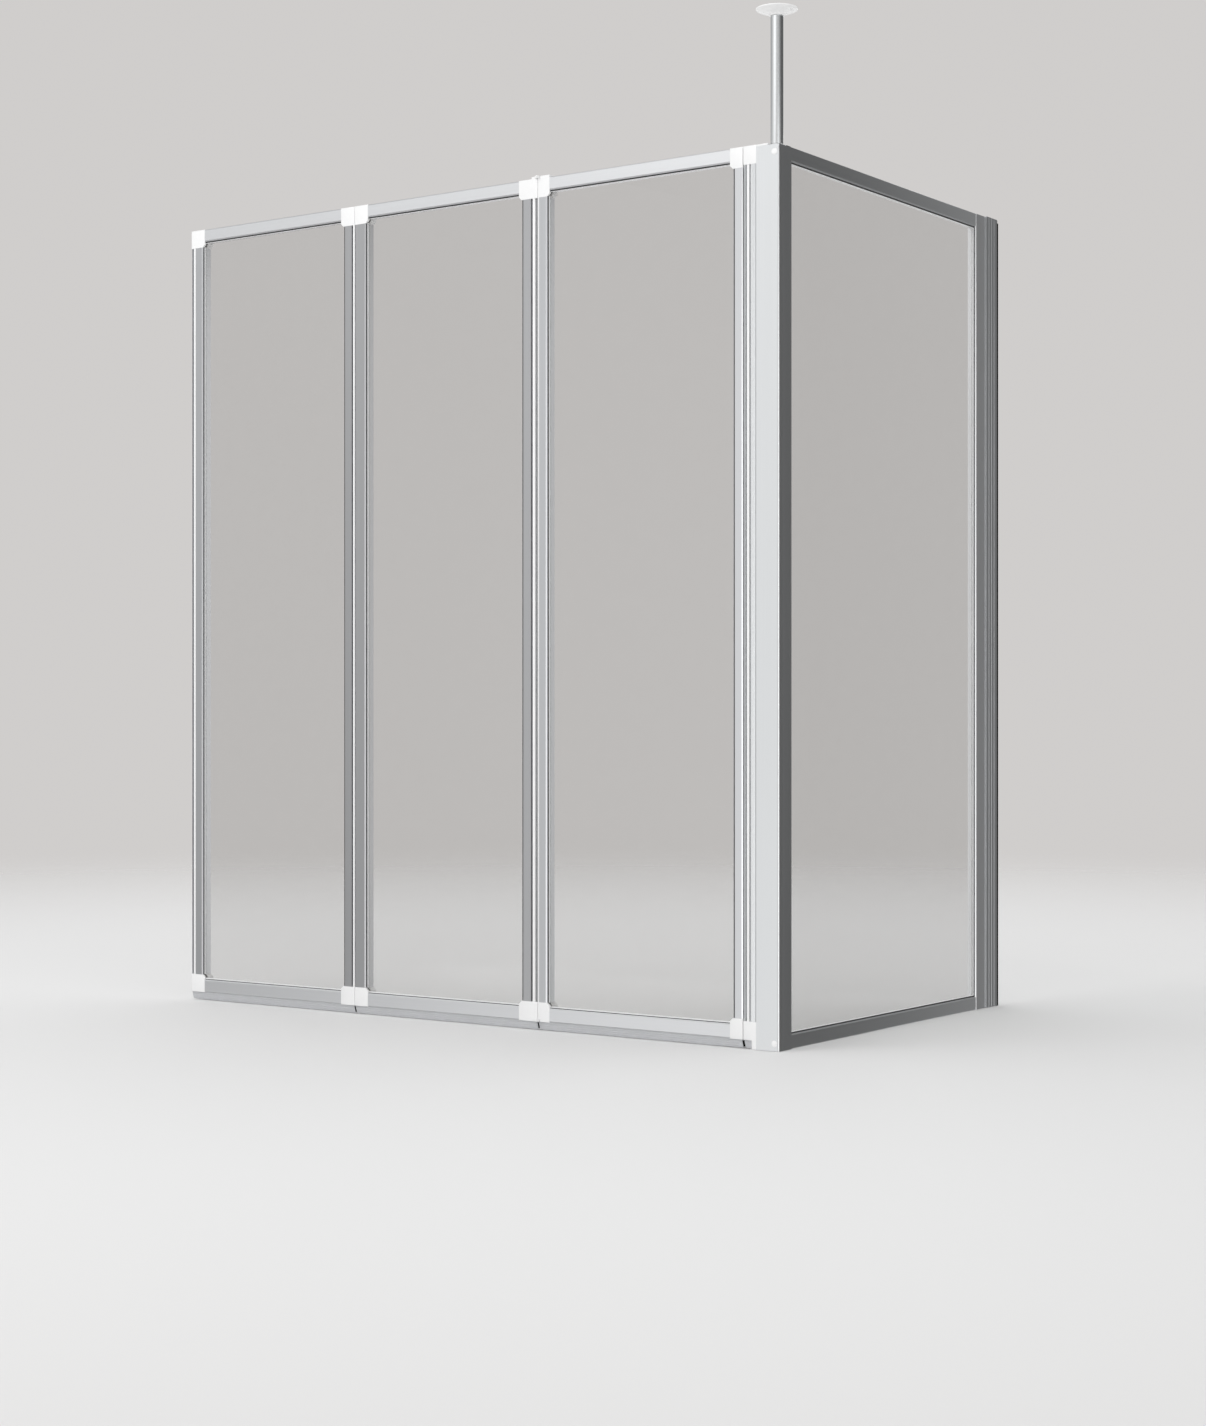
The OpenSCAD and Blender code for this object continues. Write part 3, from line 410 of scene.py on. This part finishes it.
def finishMesh(mesh, smoothAngle=None, mergeWithin=1e-6):
    # Merges doubled points. Given an angle in degrees, it also turns the faces of closed shells outwards
    # and smooths edges up to that angle.
    work = bmesh.new()
    work.from_mesh(mesh)
    bmesh.ops.remove_doubles(work, verts=work.verts, dist=mergeWithin)
    if smoothAngle is not None:
        bmesh.ops.recalc_face_normals(work, faces=work.faces)
    work.to_mesh(mesh)
    work.free()
    if smoothAngle is not None:
        mesh.shade_smooth()
        mesh.set_sharp_from_angle(angle=math.radians(smoothAngle))


def gridFaces(rows, columns, closed=False):
    # Quads of a grid of rows by columns points. closed joins the last column to the first.
    r = np.arange(rows - 1)[:, None]
    c = np.arange(columns if closed else columns - 1)[None, :]
    n = (c + 1) % columns
    low, high = r * columns, (r + 1) * columns
    return np.stack([low + c, low + n, high + n, high + c], axis=-1).reshape(-1, 4).tolist()


def sweep(sections):
    # A closed profile carried through several stations, with a flat cap at each end
    sections = np.asarray(sections)
    stations, count = sections.shape[:2]
    last = (stations - 1) * count
    caps = [list(range(count))[::-1], list(range(last, last + count))]
    return sections.reshape(-1, 3), gridFaces(stations, count, True) + caps


def ring(sections):
    # A closed profile carried round a loop of stations, back to the first one
    sections = np.asarray(sections)
    stations, count = sections.shape[:2]
    faces = np.array(gridFaces(stations + 1, count, True)) % (stations * count)
    return sections.reshape(-1, 3), faces.tolist()


def superellipse(count, power):
    # x = sign(cos t) |cos t|^power and y = sign(sin t) |sin t|^power, with t once round
    t = np.linspace(0, 2 * np.pi, count, endpoint=False)
    x = np.sign(np.cos(t)) * np.abs(np.cos(t)) ** power
    y = np.sign(np.sin(t)) * np.abs(np.sin(t)) ** power
    return x, y


def joinShells(shells):
    points, faces, start = [], [], 0
    for shellPoints, shellFaces in shells:
        points.append(shellPoints)
        faces += [[start + i for i in face] for face in shellFaces]
        start += len(shellPoints)
    return np.concatenate(points), faces


def dress(piece, node, material):
    # Takes the given material, rides where the node rides and stands for the node, which it hides
    piece.data.materials.append(material)
    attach(piece, bodyOf[node])
    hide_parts(node)


# Moulded connectors, caps, flange and plug, and the middle hinge's pins: the node's own shape with its
# edges rounded

moulding = {
    "round": 0.0007,
    "pinRound": 0.00025,
    "segments": 3,
    "mergeWithin": 2e-6,
    "flatWithin": 0.5,         # degrees
    "sharperThan": 32.0,       # degrees
    "names": {
        "postTopCap": "post_top_cap",
        "hingeTopCap": "hinge_profile_top_cap",
        "hingeBottomCap": "hinge_profile_bottom_cap",
        "ceilingFlange": "ceiling_flange",
        "strutPlug": "strut_plug",
        "nearPostTopConnector": "near_post_top_corner",
        "nearPostBottomConnector": "near_post_bottom_corner",
        "nearFreeTopConnector": "near_free_top_corner",
        "nearFreeBottomConnector": "near_free_bottom_corner",
        "middlePostTopConnector": "middle_post_top_corner",
        "middlePostBottomConnector": "middle_post_bottom_corner",
        "middleFreeTopConnector": "middle_free_top_corner",
        "middleFreeBottomConnector": "middle_free_bottom_corner",
        "endPostTopConnector": "end_post_top_corner",
        "endPostBottomConnector": "end_post_bottom_corner",
        "endFreeTopConnector": "end_free_top_corner",
        "endFreeBottomConnector": "end_free_bottom_corner",
    },
}


def addMoulding(name, node, m, rounding, material):
    mesh = nodes[node].data.copy()
    mesh.name = name
    mesh.materials.clear()
    work = bmesh.new()
    work.from_mesh(mesh)
    bmesh.ops.remove_doubles(work, verts=work.verts, dist=m["mergeWithin"])
    bmesh.ops.dissolve_limit(
        work, angle_limit=math.radians(m["flatWithin"]), verts=work.verts, edges=work.edges,
        delimit={"NORMAL"},
    )
    work.to_mesh(mesh)
    work.free()
    mesh.shade_smooth()
    piece = bpy.data.objects.new(name, mesh)
    bpy.context.scene.collection.objects.link(piece)
    bevel = piece.modifiers.new("roundEdges", "BEVEL")
    bevel.width = rounding
    bevel.segments = m["segments"]
    bevel.limit_method = "ANGLE"
    bevel.angle_limit = math.radians(m["sharperThan"])
    bevel.harden_normals = True
    dress(piece, node, material)


for name, node in moulding["names"].items():
    addMoulding(name, node, moulding, moulding["round"], whitePlastic)
addMoulding("middleHingePins", "middle_hinge_pins", moulding, moulding["pinRound"], whiteEnamel)
print("connectors, caps and pins rounded")


# Strut tube

strut = {"wall": 0.0012, "edge": 0.0003, "spokes": 96, "smooth": 30}


def addStrut(s):
    # Profile (radius, height) with broken edges, turned round the tube's axis:
    # x = radius cos t, y = radius sin t
    low, high = (np.array(corner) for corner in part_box("ceiling_strut"))
    middle, outer = (low + high) / 2, (high[0] - low[0]) / 2
    inner, edge = outer - s["wall"], s["edge"]
    outside, inside = [outer - edge, outer, outer, outer - edge], [inner + edge, inner, inner, inner + edge]
    radius = np.array(outside + inside)
    height = np.array([low[2], low[2] + edge, high[2] - edge, high[2]])
    height = np.concatenate([height, height[::-1]])
    t = np.linspace(0, 2 * np.pi, s["spokes"], endpoint=False)[:, None]
    x, y = middle[0] + radius * np.cos(t), middle[1] + radius * np.sin(t)
    points, faces = ring(np.stack([x, y, np.broadcast_to(height, x.shape)], axis=-1))
    dress(makeSurface("ceilingStrut", points, faces, s["smooth"]), "ceiling_strut", tubeAluminium)


addStrut(strut)
print("strut made")


# Seal strips along the bars

strips = {
    "points": 32,
    "squareness": 6.0,
    "stations": 2,
    "smooth": 60,
    "names": {
        "hingeProfileStrip": "hinge_profile_seal",
        "nearFreeStrip": "near_free_seal",
        "middleHingeStrip": "middle_hinge_seal",
        "endHingeStrip": "end_hinge_seal",
        "endFreeStrip": "end_free_seal",
        "wallStrip": "wall_seal_strip",
    },
}


def addStrip(name, node, s):
    # Superellipse |x/a|^n + |y/b|^n = 1 of the node's width and depth, carried from its foot to its top
    low, high = (np.array(corner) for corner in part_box(node))
    x, y = superellipse(s["points"], 2 / s["squareness"])
    middle, half = (low + high) / 2, (high - low) / 2
    z = np.linspace(low[2], high[2], s["stations"])[:, None]
    around = np.broadcast_to(middle[0] + half[0] * x, (s["stations"], s["points"]))
    depth = np.broadcast_to(middle[1] + half[1] * y, (s["stations"], s["points"]))
    sections = np.stack([around, depth, np.broadcast_to(z, around.shape)], axis=-1)
    points, faces = sweep(sections)
    dress(makeSurface(name, points, faces, s["smooth"]), node, plainMaterials[slotOf[node]])


for name, node in strips["names"].items():
    addStrip(name, node, strips)
print("seal strips made")


# Gaskets round the panes. In front of the pane a dark bead lies next to the bar, with a pale lip next to
# it, and behind the pane there is one pale lip. In the panels they stop at the connectors.

gaskets = {
    "bar": 0.007,              # from the gasket's outer edge in the slot to the bar's edge
    "root": 0.0015,            # how deep the beads reach into the slot
    "rootThickness": 0.001,
    "tuck": 0.0001,            # how far a bead's front starts behind the bar's edge
    "paneHalf": 0.0015,
    "paneDepth": 0.007,        # of the pane's middle behind the bars' faces
    "dark": {"width": 0.0021, "front": 0.0024, "round": 0.0007},
    "darkLow": {"width": 0.0011, "front": 0.0028, "round": 0.0005},
    "lip": {"width": 0.0030, "front": 0.0031, "round": 0.0011},
    "rear": {"width": 0.0018, "front": 0.0043, "round": 0.0009},
    "roundPoints": 7,
    "smooth": 40,
    "stopAt": 0.0092,          # a connector's height past its rail
    "stopUnder": (0.0055, 0.0072),     # the connectors' reach past a free stile and past one towards the post
    "names": {
        "side": "side_gaskets",
        "near": "near_gaskets",
        "middle": "middle_gaskets",
        "end": "end_gaskets",
    },
}


def beadProfile(bead, g):
    # Closed profile (a, b): a runs from the bar's edge towards the pane's middle, and b is the depth behind
    # the bars' faces. Its corner in front is a quarter circle: a = width - round (1 - sin t) and
    # b = front + round (1 - cos t)
    t = np.linspace(0, np.pi / 2, g["roundPoints"])
    width, front, rounding = bead["width"], bead["front"], bead["round"]
    back = g["paneDepth"] - g["paneHalf"]
    shelf = back - g["rootThickness"]
    a = np.concatenate([
        [-g["root"], -g["tuck"], -g["tuck"]], width - rounding * (1 - np.sin(t)), [width, -g["root"]],
    ])
    b = np.concatenate([[shelf, shelf, front], front + rounding * (1 - np.cos(t)), [back, back]])
    return np.stack([a, b])


def addGaskets(name, node, g):
    # Each bead is its profile carried along one edge of the opening, a across the edge and b in depth
    low, high = (np.array(corner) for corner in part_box(node))
    side = node.startswith("side")
    across, deep = (1, 0) if side else (0, 1)
    inward = -1 if side else 1
    face = (low[deep] + high[deep]) / 2 - inward * g["paneDepth"]
    edges = {
        "left": (across, low[across] + g["bar"], 1), "right": (across, high[across] - g["bar"], -1),
        "low": (2, low[2] + g["bar"], 1), "high": (2, high[2] - g["bar"], -1),
    }
    profiles = {"Bead": beadProfile(g["dark"], g), "Lip": beadProfile(g["lip"], g)}
    lowBead = beadProfile(g["darkLow"], g)
    # The rear lip is mirrored in the pane's middle: b becomes 2 paneDepth - b
    rearA, rearB = beadProfile(g["rear"], g)
    profiles["RearLip"] = np.stack([rearA, 2 * g["paneDepth"] - rearB])
    for kind, (a, b) in profiles.items():
        shells = []
        for where, (axis, edge, towards) in edges.items():
            other = 2 if axis == across else across
            reach = (0.0, 0.0) if side else ((g["stopAt"],) * 2 if axis == across else g["stopUnder"])
            ends = (low[other] + g["bar"] + reach[0], high[other] - g["bar"] - reach[1])
            p, q = lowBead if kind == "Bead" and where == "low" and not side else (a, b)
            sections = np.zeros((2, len(p), 3))
            sections[:, :, axis] = edge + towards * p
            sections[:, :, deep] = face + inward * q
            for k in (0, 1):
                # The side frame has no connectors, so there the corners are mitred
                sections[k, :, other] = ends[k] + (1 if k == 0 else -1) * (p if side else 0.0)
            shells.append(sweep(sections))
        points, faces = joinShells(shells)
        piece = makeSurface(name + "Gasket" + kind, points, faces, g["smooth"])
        if kind == "Bead":
            piece.data.materials.append(darkSeal)
            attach(piece, bodyOf[node])
        else:
            dress(piece, node, paleLip)


for name, node in gaskets["names"].items():
    addGaskets(name, node, gaskets)
print("gaskets made")


# Lip seals under the frames, and black pieces behind each lip at its right end: painted shade that darkens
# the gap between neighbouring lips

drip = {
    "top": 0.014,
    "inset": 0.002,            # of the node's own front behind the frames' front faces
    "front": 0.0021,           # of the lip behind the frames' front faces
    "back": 0.020,
    "web": 0.0022,
    "webEdge": 0.0004,
    "webStart": 0.0003,        # of the web behind the lip's front
    "webEnd": 0.0002,          # of the web inside the lip's left end
    "wall": 0.0016,
    "tip": 0.0009,
    "lowest": 0.001,
    "lean": 0.0016,            # how far the lip leans back at its foot
    "ridges": (0.0112, 0.0078, 0.0046),
    "ridgeHeight": 0.00035,
    "ridgeWidth": 0.00055,
    "slant": 0.002,
    "points": 56,
    "smooth": 30,
    "gapShadeDepth": (0.0047, 0.018),
    "gapShadeWidth": 0.002,
    "gapShadeFoot": 0.0012,        # above the lip's tip
    "gapShadeClearance": 0.0001,
    "gapShadePower": 0.4,
    "gapShadePoints": 24,
    "gapShadeSmooth": 40,
    "names": {
        "hingeProfile": "hinge_profile_drip_seal",
        "near": "near_drip_seal",
        "middle": "middle_drip_seal",
        "end": "end_drip_seal",
    },
}


def dripRise(z, d):
    return (z - d["lowest"]) / (d["top"] - d["lowest"])


def addDrip(name, node, d):
    # Front of the lip: y = front + lean (1 - rise)^2 minus a bell curve for each ridge. Its back is the same
    # curve behind a wall that thins towards the tip. The left end leans right towards its foot, and the right
    # end leans left towards its top. A flat web joins the lip to the frame.
    low, high = (np.array(corner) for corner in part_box(node))
    frontFace = low[1] - d["inset"]
    straight = node.startswith("hinge")
    slant = 0.0 if straight else d["slant"]
    z = np.linspace(d["top"], d["lowest"], d["points"])
    rise = dripRise(z, d)
    bells = sum(np.exp(-(((z - at) / d["ridgeWidth"]) ** 2)) for at in d["ridges"])
    curve = frontFace + d["front"] + d["lean"] * (1 - rise) ** 2
    thickness = d["tip"] + (d["wall"] - d["tip"]) * rise
    y = np.concatenate([curve - d["ridgeHeight"] * bells, (curve + thickness)[::-1]])
    z = np.concatenate([z, z[::-1]])
    left = low[0] + d["slant"] * (1 - dripRise(z, d))
    right = high[0] - slant * dripRise(z, d)
    lip = sweep(np.stack([np.stack([x, y, z], axis=-1) for x in (left, right)]))
    webFront, webBack, edge = y[0] + d["webStart"], frontFace + d["back"], d["webEdge"]
    webY = np.array([webFront, webBack - edge, webBack, webBack, webBack - edge, webFront])
    webZ = d["top"] - np.array([0.0, 0.0, edge, d["web"] - edge, d["web"], d["web"]])
    ends = (low[0] + d["webEnd"], high[0] - slant)
    web = sweep(np.stack([np.stack([np.full(webY.shape, x), webY, webZ], axis=-1) for x in ends]))
    dress(makeSurface(name + "Drip", *joinShells([lip, web]), d["smooth"]), node, clearSeal)
    if not straight:
        addDripGapShade(name, node, d, frontFace, high[0])


def addDripGapShade(name, node, d, frontFace, end):
    # A superellipse as wide and deep as the black piece, carried from the web to just above the lip's tip and
    # leaning with the lip's end. Its black is painted shade for the gap at the lip's end.
    across, deep = superellipse(d["gapShadePoints"], d["gapShadePower"])
    z = np.array([d["top"] - d["web"] - d["gapShadeClearance"], d["lowest"] + d["gapShadeFoot"]])
    front, back = (frontFace + v for v in d["gapShadeDepth"])
    middle = end - d["slant"] * dripRise(z, d) - d["gapShadeWidth"] / 2 - d["gapShadeClearance"]
    sections = np.zeros((2, d["gapShadePoints"], 3))
    sections[:, :, 0] = middle[:, None] + d["gapShadeWidth"] / 2 * across
    sections[:, :, 1] = (front + back) / 2 + (back - front) / 2 * deep
    sections[:, :, 2] = z[:, None]
    stop = makeSurface(name + "DripGapShade", *sweep(sections), d["gapShadeSmooth"])
    # Black, as painted shade in the gap between the lips
    stop.data.materials.append(blackSeal)
    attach(stop, bodyOf[node])


for name, node in drip["names"].items():
    addDrip(name, node, drip)
print("lip seals made")


# Round screw covers on the post, and the screws with their cross recesses

covers = {
    "x": 0.003,
    "face": -0.755,
    "heights": (0.0115, 1.3855),
    "radius": 0.005,
    "crown": 0.0012,
    "plugRadius": 0.004,
    "plugLength": 0.0025,
    "roundness": 2.6,
    "rings": 14,
    "spokes": 48,
    "smooth": 40,
}


def lathe(radius, along, spokes, recess=None):
    # Profile (radius, along) turned round an axis: x = radius cos t, y = radius sin t. Both ends lie on the
    # axis, and a recess adds its depth to z.
    t = np.linspace(0, 2 * np.pi, spokes, endpoint=False)[None, :]
    r, h = radius[:, None], along[:, None]
    x, y = r * np.cos(t), r * np.sin(t)
    z = np.broadcast_to(h, x.shape).copy()
    if recess is not None:
        z = z + recess(x, y, z)
    return np.stack([x, y, z], axis=-1).reshape(-1, 3), gridFaces(len(radius), spokes, True)


def turnTo(points, place, axis):
    # Turns the z axis of the points to the given level axis and moves them to the place
    z = np.array(axis, dtype=float)
    x = np.array([0.0, 0.0, 1.0])
    y = np.cross(z, x)
    return np.array(place) + points @ np.stack([x, y, z])


def addCovers(c):
    # Crown: (r / radius)^n + (height / crown)^n = 1, then a step in to the plug
    t = np.linspace(0, np.pi / 2, c["rings"])
    power = 2 / c["roundness"]
    r = c["radius"] * np.sin(t) ** power
    h = c["crown"] * np.cos(t) ** power
    r = np.concatenate([r, [c["plugRadius"], c["plugRadius"], 0.0]])
    h = np.concatenate([h, [0.0, -c["plugLength"], -c["plugLength"]]])
    shells = []
    for z in c["heights"]:
        points, faces = lathe(r, h, c["spokes"])
        shells.append((turnTo(points, (c["x"], c["face"], z), (0, -1, 0)), faces))
    points, faces = joinShells(shells)
    dress(makeSurface("postScrewCovers", points, faces, c["smooth"]), "post_screw_covers", whitePlastic)


screws = {
    "headRadius": 0.0038,
    "headHeight": 0.0024,
    "domeRings": 22,
    "domeShare": 0.9,              # of the head's radius
    "domeFall": 0.25,              # of the head's height
    "rim": ((0.96, 0.62), (1.0, 0.45), (1.0, 0.0)),        # shares of the head's radius and height
    "shaftRadius": 0.002,
    "tipShare": 0.6,               # of the shaft's radius
    "tipLength": 0.001,
    "recessArm": 0.0021,
    "recessHalf": 0.00045,
    "recessDepth": 0.0012,
    "recessSide": 1.6,             # where the recess ends, in half widths of its arms
    "recessFade": 0.0007,
    "recessAbove": 0.55,           # share of the head's height
    "spokes": 64,
    "smooth": 35,
    "rows": [
        # The head's seat, the direction that the shaft runs in and its length
        *(((0.003, -0.733, z), (0, 1, 0), 0.0073) for z in (0.0115, 1.3855)),
        *(((-0.0315, -0.739, z), (1, 0, 0), 0.014) for z in (0.1, 0.707, 1.314)),
        *(((-0.0112, -0.0355, z), (1, 0, 0), 0.0097) for z in (0.1, 0.707, 1.314)),
        *(((0.002, -0.0755, z), (0, -1, 0), 0.0225) for z in (0.008, 1.391)),
        *(((0.002, -0.7222, z), (0, 1, 0), 0.0225) for z in (0.008, 1.391)),
    ],
}


def addScrews(s):
    # Pan head: height = headHeight (1 - domeFall share^2) over a short rim. The recess is a cross, and its
    # depth falls off evenly at the sides and the ends of its arms.
    def recess(x, y, z):
        arm = np.minimum(np.abs(x), np.abs(y))
        reach = np.maximum(np.abs(x), np.abs(y))
        side = np.clip(s["recessSide"] - arm / s["recessHalf"], 0, 1)
        end = np.clip((s["recessArm"] - reach) / s["recessFade"], 0, 1)
        return s["recessDepth"] * side * end * (z < -s["headHeight"] * s["recessAbove"])

    h, shaft = s["headHeight"], s["shaftRadius"]
    rimRadius, rimHeight = np.array(s["rim"]).T
    dome = np.linspace(0, 1, s["domeRings"])
    radius = np.concatenate([
        s["headRadius"] * dome * s["domeShare"], s["headRadius"] * rimRadius,
        [shaft, shaft, shaft * s["tipShare"], 0.0],
    ])
    shells = []
    for place, axis, length in s["rows"]:
        along = np.concatenate([
            -h * (1 - s["domeFall"] * dome ** 2), -h * rimHeight,
            [0.0, length - s["tipLength"], length, length],
        ])
        points, faces = lathe(radius, along, s["spokes"], recess)
        shells.append((turnTo(points, place, axis), faces))
    points, faces = joinShells(shells)
    dress(makeSurface("frameScrews", points, faces, s["smooth"]), "frame_screws", brightSteel)


addCovers(covers)
addScrews(screws)
print("covers and screws made")


# Studio

studio = {
    "background": (0.63, 0.615, 0.605, 1.0),
    "diffuse": (0.85, 0.85, 0.85, 1.0),
    "diffuseLevel": 1.05,
    "floorColour": (0.84, 0.84, 0.84, 1.0),
    "floorRoughness": 0.7,
    "floorSpecular": 0.2,
    "floorLevel": -0.0005,
    "floorRadius": 7.0,
    "floorPole": 0.001,              # radius of the innermost ring
    "floorClear": (1.6, 5.5),       # distances at which the floor fades into the background
    "middle": (-0.6, -0.4),
    "rings": 48,
    "spokes": 96,
}


def addWorld(s):
    world = bpy.data.worlds.new("studio")
    bpy.context.scene.world = world
    world.use_nodes = True
    tree = world.node_tree
    tree.nodes.clear()
    output = tree.nodes.new("ShaderNodeOutputWorld")
    path = tree.nodes.new("ShaderNodeLightPath")
    seen = calculate(tree, "MAXIMUM", path.outputs["Is Camera Ray"], path.outputs["Is Glossy Ray"])
    seen = calculate(tree, "MAXIMUM", seen, path.outputs["Is Transmission Ray"])
    strength = calculate(tree, "MULTIPLY", seen, 1.0 - s["diffuseLevel"])
    strength = calculate(tree, "ADD", strength, s["diffuseLevel"])
    colour = blendColours(tree, seen, s["diffuse"], s["background"])
    light = addNode(tree, "ShaderNodeBackground", {}, Color=colour, Strength=strength)
    feed(tree, output.inputs["Surface"], light.outputs[0])


def addFloor(s):
    # A disc: radius grows with the ring, the angle with the spoke
    radius = np.linspace(s["floorPole"], s["floorRadius"], s["rings"])[:, None]
    angle = np.linspace(0, 2 * np.pi, s["spokes"], endpoint=False)[None, :]
    x = s["middle"][0] + radius * np.cos(angle)
    y = s["middle"][1] + radius * np.sin(angle)
    points = np.stack([x, y, np.full(x.shape, s["floorLevel"])], axis=-1)
    floor = makeSurface("floor", points, gridFaces(s["rings"], s["spokes"], True))
    material, tree, shader, output = newMaterial("floorPaint")
    shader.inputs["Base Color"].default_value = s["floorColour"]
    shader.inputs["Roughness"].default_value = s["floorRoughness"]
    shader.inputs["Specular IOR Level"].default_value = s["floorSpecular"]
    place = tree.nodes.new("ShaderNodeTexCoord").outputs["Object"]
    away = addNode(tree, "ShaderNodeVectorMath", {"operation": "DISTANCE"})
    feed(tree, away.inputs[0], place)
    away.inputs[1].default_value = (*s["middle"], 0.0)
    fade = mapRange(tree, away.outputs["Value"], s["floorClear"])
    clear = tree.nodes.new("ShaderNodeBsdfTransparent")
    feed(tree, output.inputs["Surface"], mixShaders(tree, fade, shader.outputs[0], clear.outputs[0]))
    floor.data.materials.append(material)
    floor.visible_glossy = False        # so that the cards run on below it


lamps = {
    "key": {"place": (-1.64, -3.64, 3.71), "aim": (-0.5, -0.5, 0.7), "size": 2.4, "power": 36.5},
}


def addLamp(name, lamp):
    light = bpy.data.lights.new(name, "AREA")
    light.shape = "SQUARE"
    light.size = lamp["size"]
    light.energy = lamp["power"]
    place = bpy.data.objects.new(name, light)
    place.location = lamp["place"]
    bpy.context.scene.collection.objects.link(place)
    away = place.location - Vector(lamp["aim"])
    place.rotation_euler = away.to_track_quat("Z", "Y").to_euler()


# Cards that only the metal's and the glass's reflections see. Each is a wide sheet facing the object, and its
# grey runs from one end to the other, with soft ends that fade into the background. Where lowGreys are given,
# they hold below and the greys above, and climb gives the two heights between which they change.
cards = {
    "rearRight": {
        "aim": (0.0, -0.4), "turn": 61.0, "distance": 0.9, "half": 1.6, "low": -6.0, "high": 3.0,
        "greys": (0.31, 0.07), "run": (-0.3, 0.3), "soft": 1.0,
    },
    "frontRight": {
        "aim": (-0.2, -0.5), "turn": 327.0, "distance": 3.4, "half": 1.6, "low": -6.0, "high": 2.05,
        "greys": (1.9, 1.9), "run": (-1.0, 1.0), "soft": 1.0,
    },
    "frontLeft": {
        "aim": (-0.6, -0.755), "turn": 232.0, "distance": 1.7, "half": 2.2, "low": -6.0, "high": 3.0,
        "greys": (0.92, 0.74), "run": (-0.75, 0.45), "soft": 1.0,
        "lowGreys": (1.10, 0.47), "climb": (-0.2, 1.9),
    },
    "tubeLight": {
        "aim": (0.0, -0.74), "turn": 265.0, "distance": 1.5, "half": 0.85, "low": 1.74, "high": 3.2,
        "greys": (1.32, 1.32), "run": (-1.0, 1.0), "soft": 0.45,
    },
    "tubeLeft": {
        "aim": (0.0, -0.74), "turn": 190.0, "distance": 1.5, "half": 1.5, "low": 1.74, "high": 3.2,
        "greys": (0.68, 0.42), "run": (-1.0, 0.6), "soft": 0.3,
    },
    "tubeRight": {
        "aim": (0.0, -0.74), "turn": 340.0, "distance": 1.5, "half": 1.8, "low": 1.74, "high": 3.2,
        "greys": (0.16, 0.66), "run": (-1.0, 1.2), "soft": 0.4,
    },
    "wallSide": {
        "aim": (-0.66, 0.03), "turn": 90.0, "distance": 0.0, "half": 0.64, "low": -0.2, "high": 1.6,
        "greys": (1.15, 1.15), "run": (-1.0, 1.0), "soft": 0.02,
    },
    "wallInner": {
        "aim": (-0.013, -0.18), "turn": 0.0, "distance": 0.0, "half": 0.15, "low": -0.2, "high": 1.6,
        "greys": (1.15, 1.15), "run": (-1.0, 1.0), "soft": 0.02,
    },
}


def addCard(name, card):
    # Across the card runs u, from its left end as seen from the object to its right end
    turn = math.radians(card["turn"])
    outward = np.array([math.cos(turn), math.sin(turn), 0.0])
    across = np.array([math.sin(turn), -math.cos(turn), 0.0])
    middle = np.array([*card["aim"], 0.0]) + outward * card["distance"]
    u, heights = (-card["half"], card["half"]), (card["low"], card["high"])
    points = np.array([middle + across * a + (0, 0, b) for b in heights for a in u])
    piece = makeSurface(name, points, gridFaces(2, 2))
    material, tree, _, output = newMaterial(name + "Card")
    place = tree.nodes.new("ShaderNodeTexCoord").outputs["Object"]
    along = addNode(tree, "ShaderNodeVectorMath", {"operation": "DOT_PRODUCT"})
    feed(tree, along.inputs[0], place)
    along.inputs[1].default_value = across
    along, offset = along.outputs["Value"], float(middle @ across)
    run = [offset + end for end in card["run"]]
    grey = mapRange(tree, along, run, card["greys"])
    if "lowGreys" in card:
        below = mapRange(tree, along, run, card["lowGreys"])
        height = addNode(tree, "ShaderNodeSeparateXYZ", {}, Vector=place).outputs["Z"]
        grey = mapRange(tree, height, card["climb"], (below, grey), "LINEAR")
    away = calculate(tree, "ABSOLUTE", calculate(tree, "SUBTRACT", along, offset))
    fade = mapRange(tree, away, (card["half"] - card["soft"], card["half"]))
    glow = addNode(tree, "ShaderNodeEmission", {}, Strength=grey)
    clear = tree.nodes.new("ShaderNodeBsdfTransparent")
    feed(tree, output.inputs["Surface"], mixShaders(tree, fade, glow.outputs[0], clear.outputs[0]))
    piece.data.materials.append(material)
    for ray in ("camera", "diffuse", "transmission", "volume_scatter", "shadow"):
        setattr(piece, "visible_" + ray, False)


addWorld(studio)
addFloor(studio)
for name, lamp in lamps.items():
    addLamp(name, lamp)
for name, card in cards.items():
    addCard(name, card)
bpy.context.scene.view_settings.view_transform = "Standard"
print("studio built")
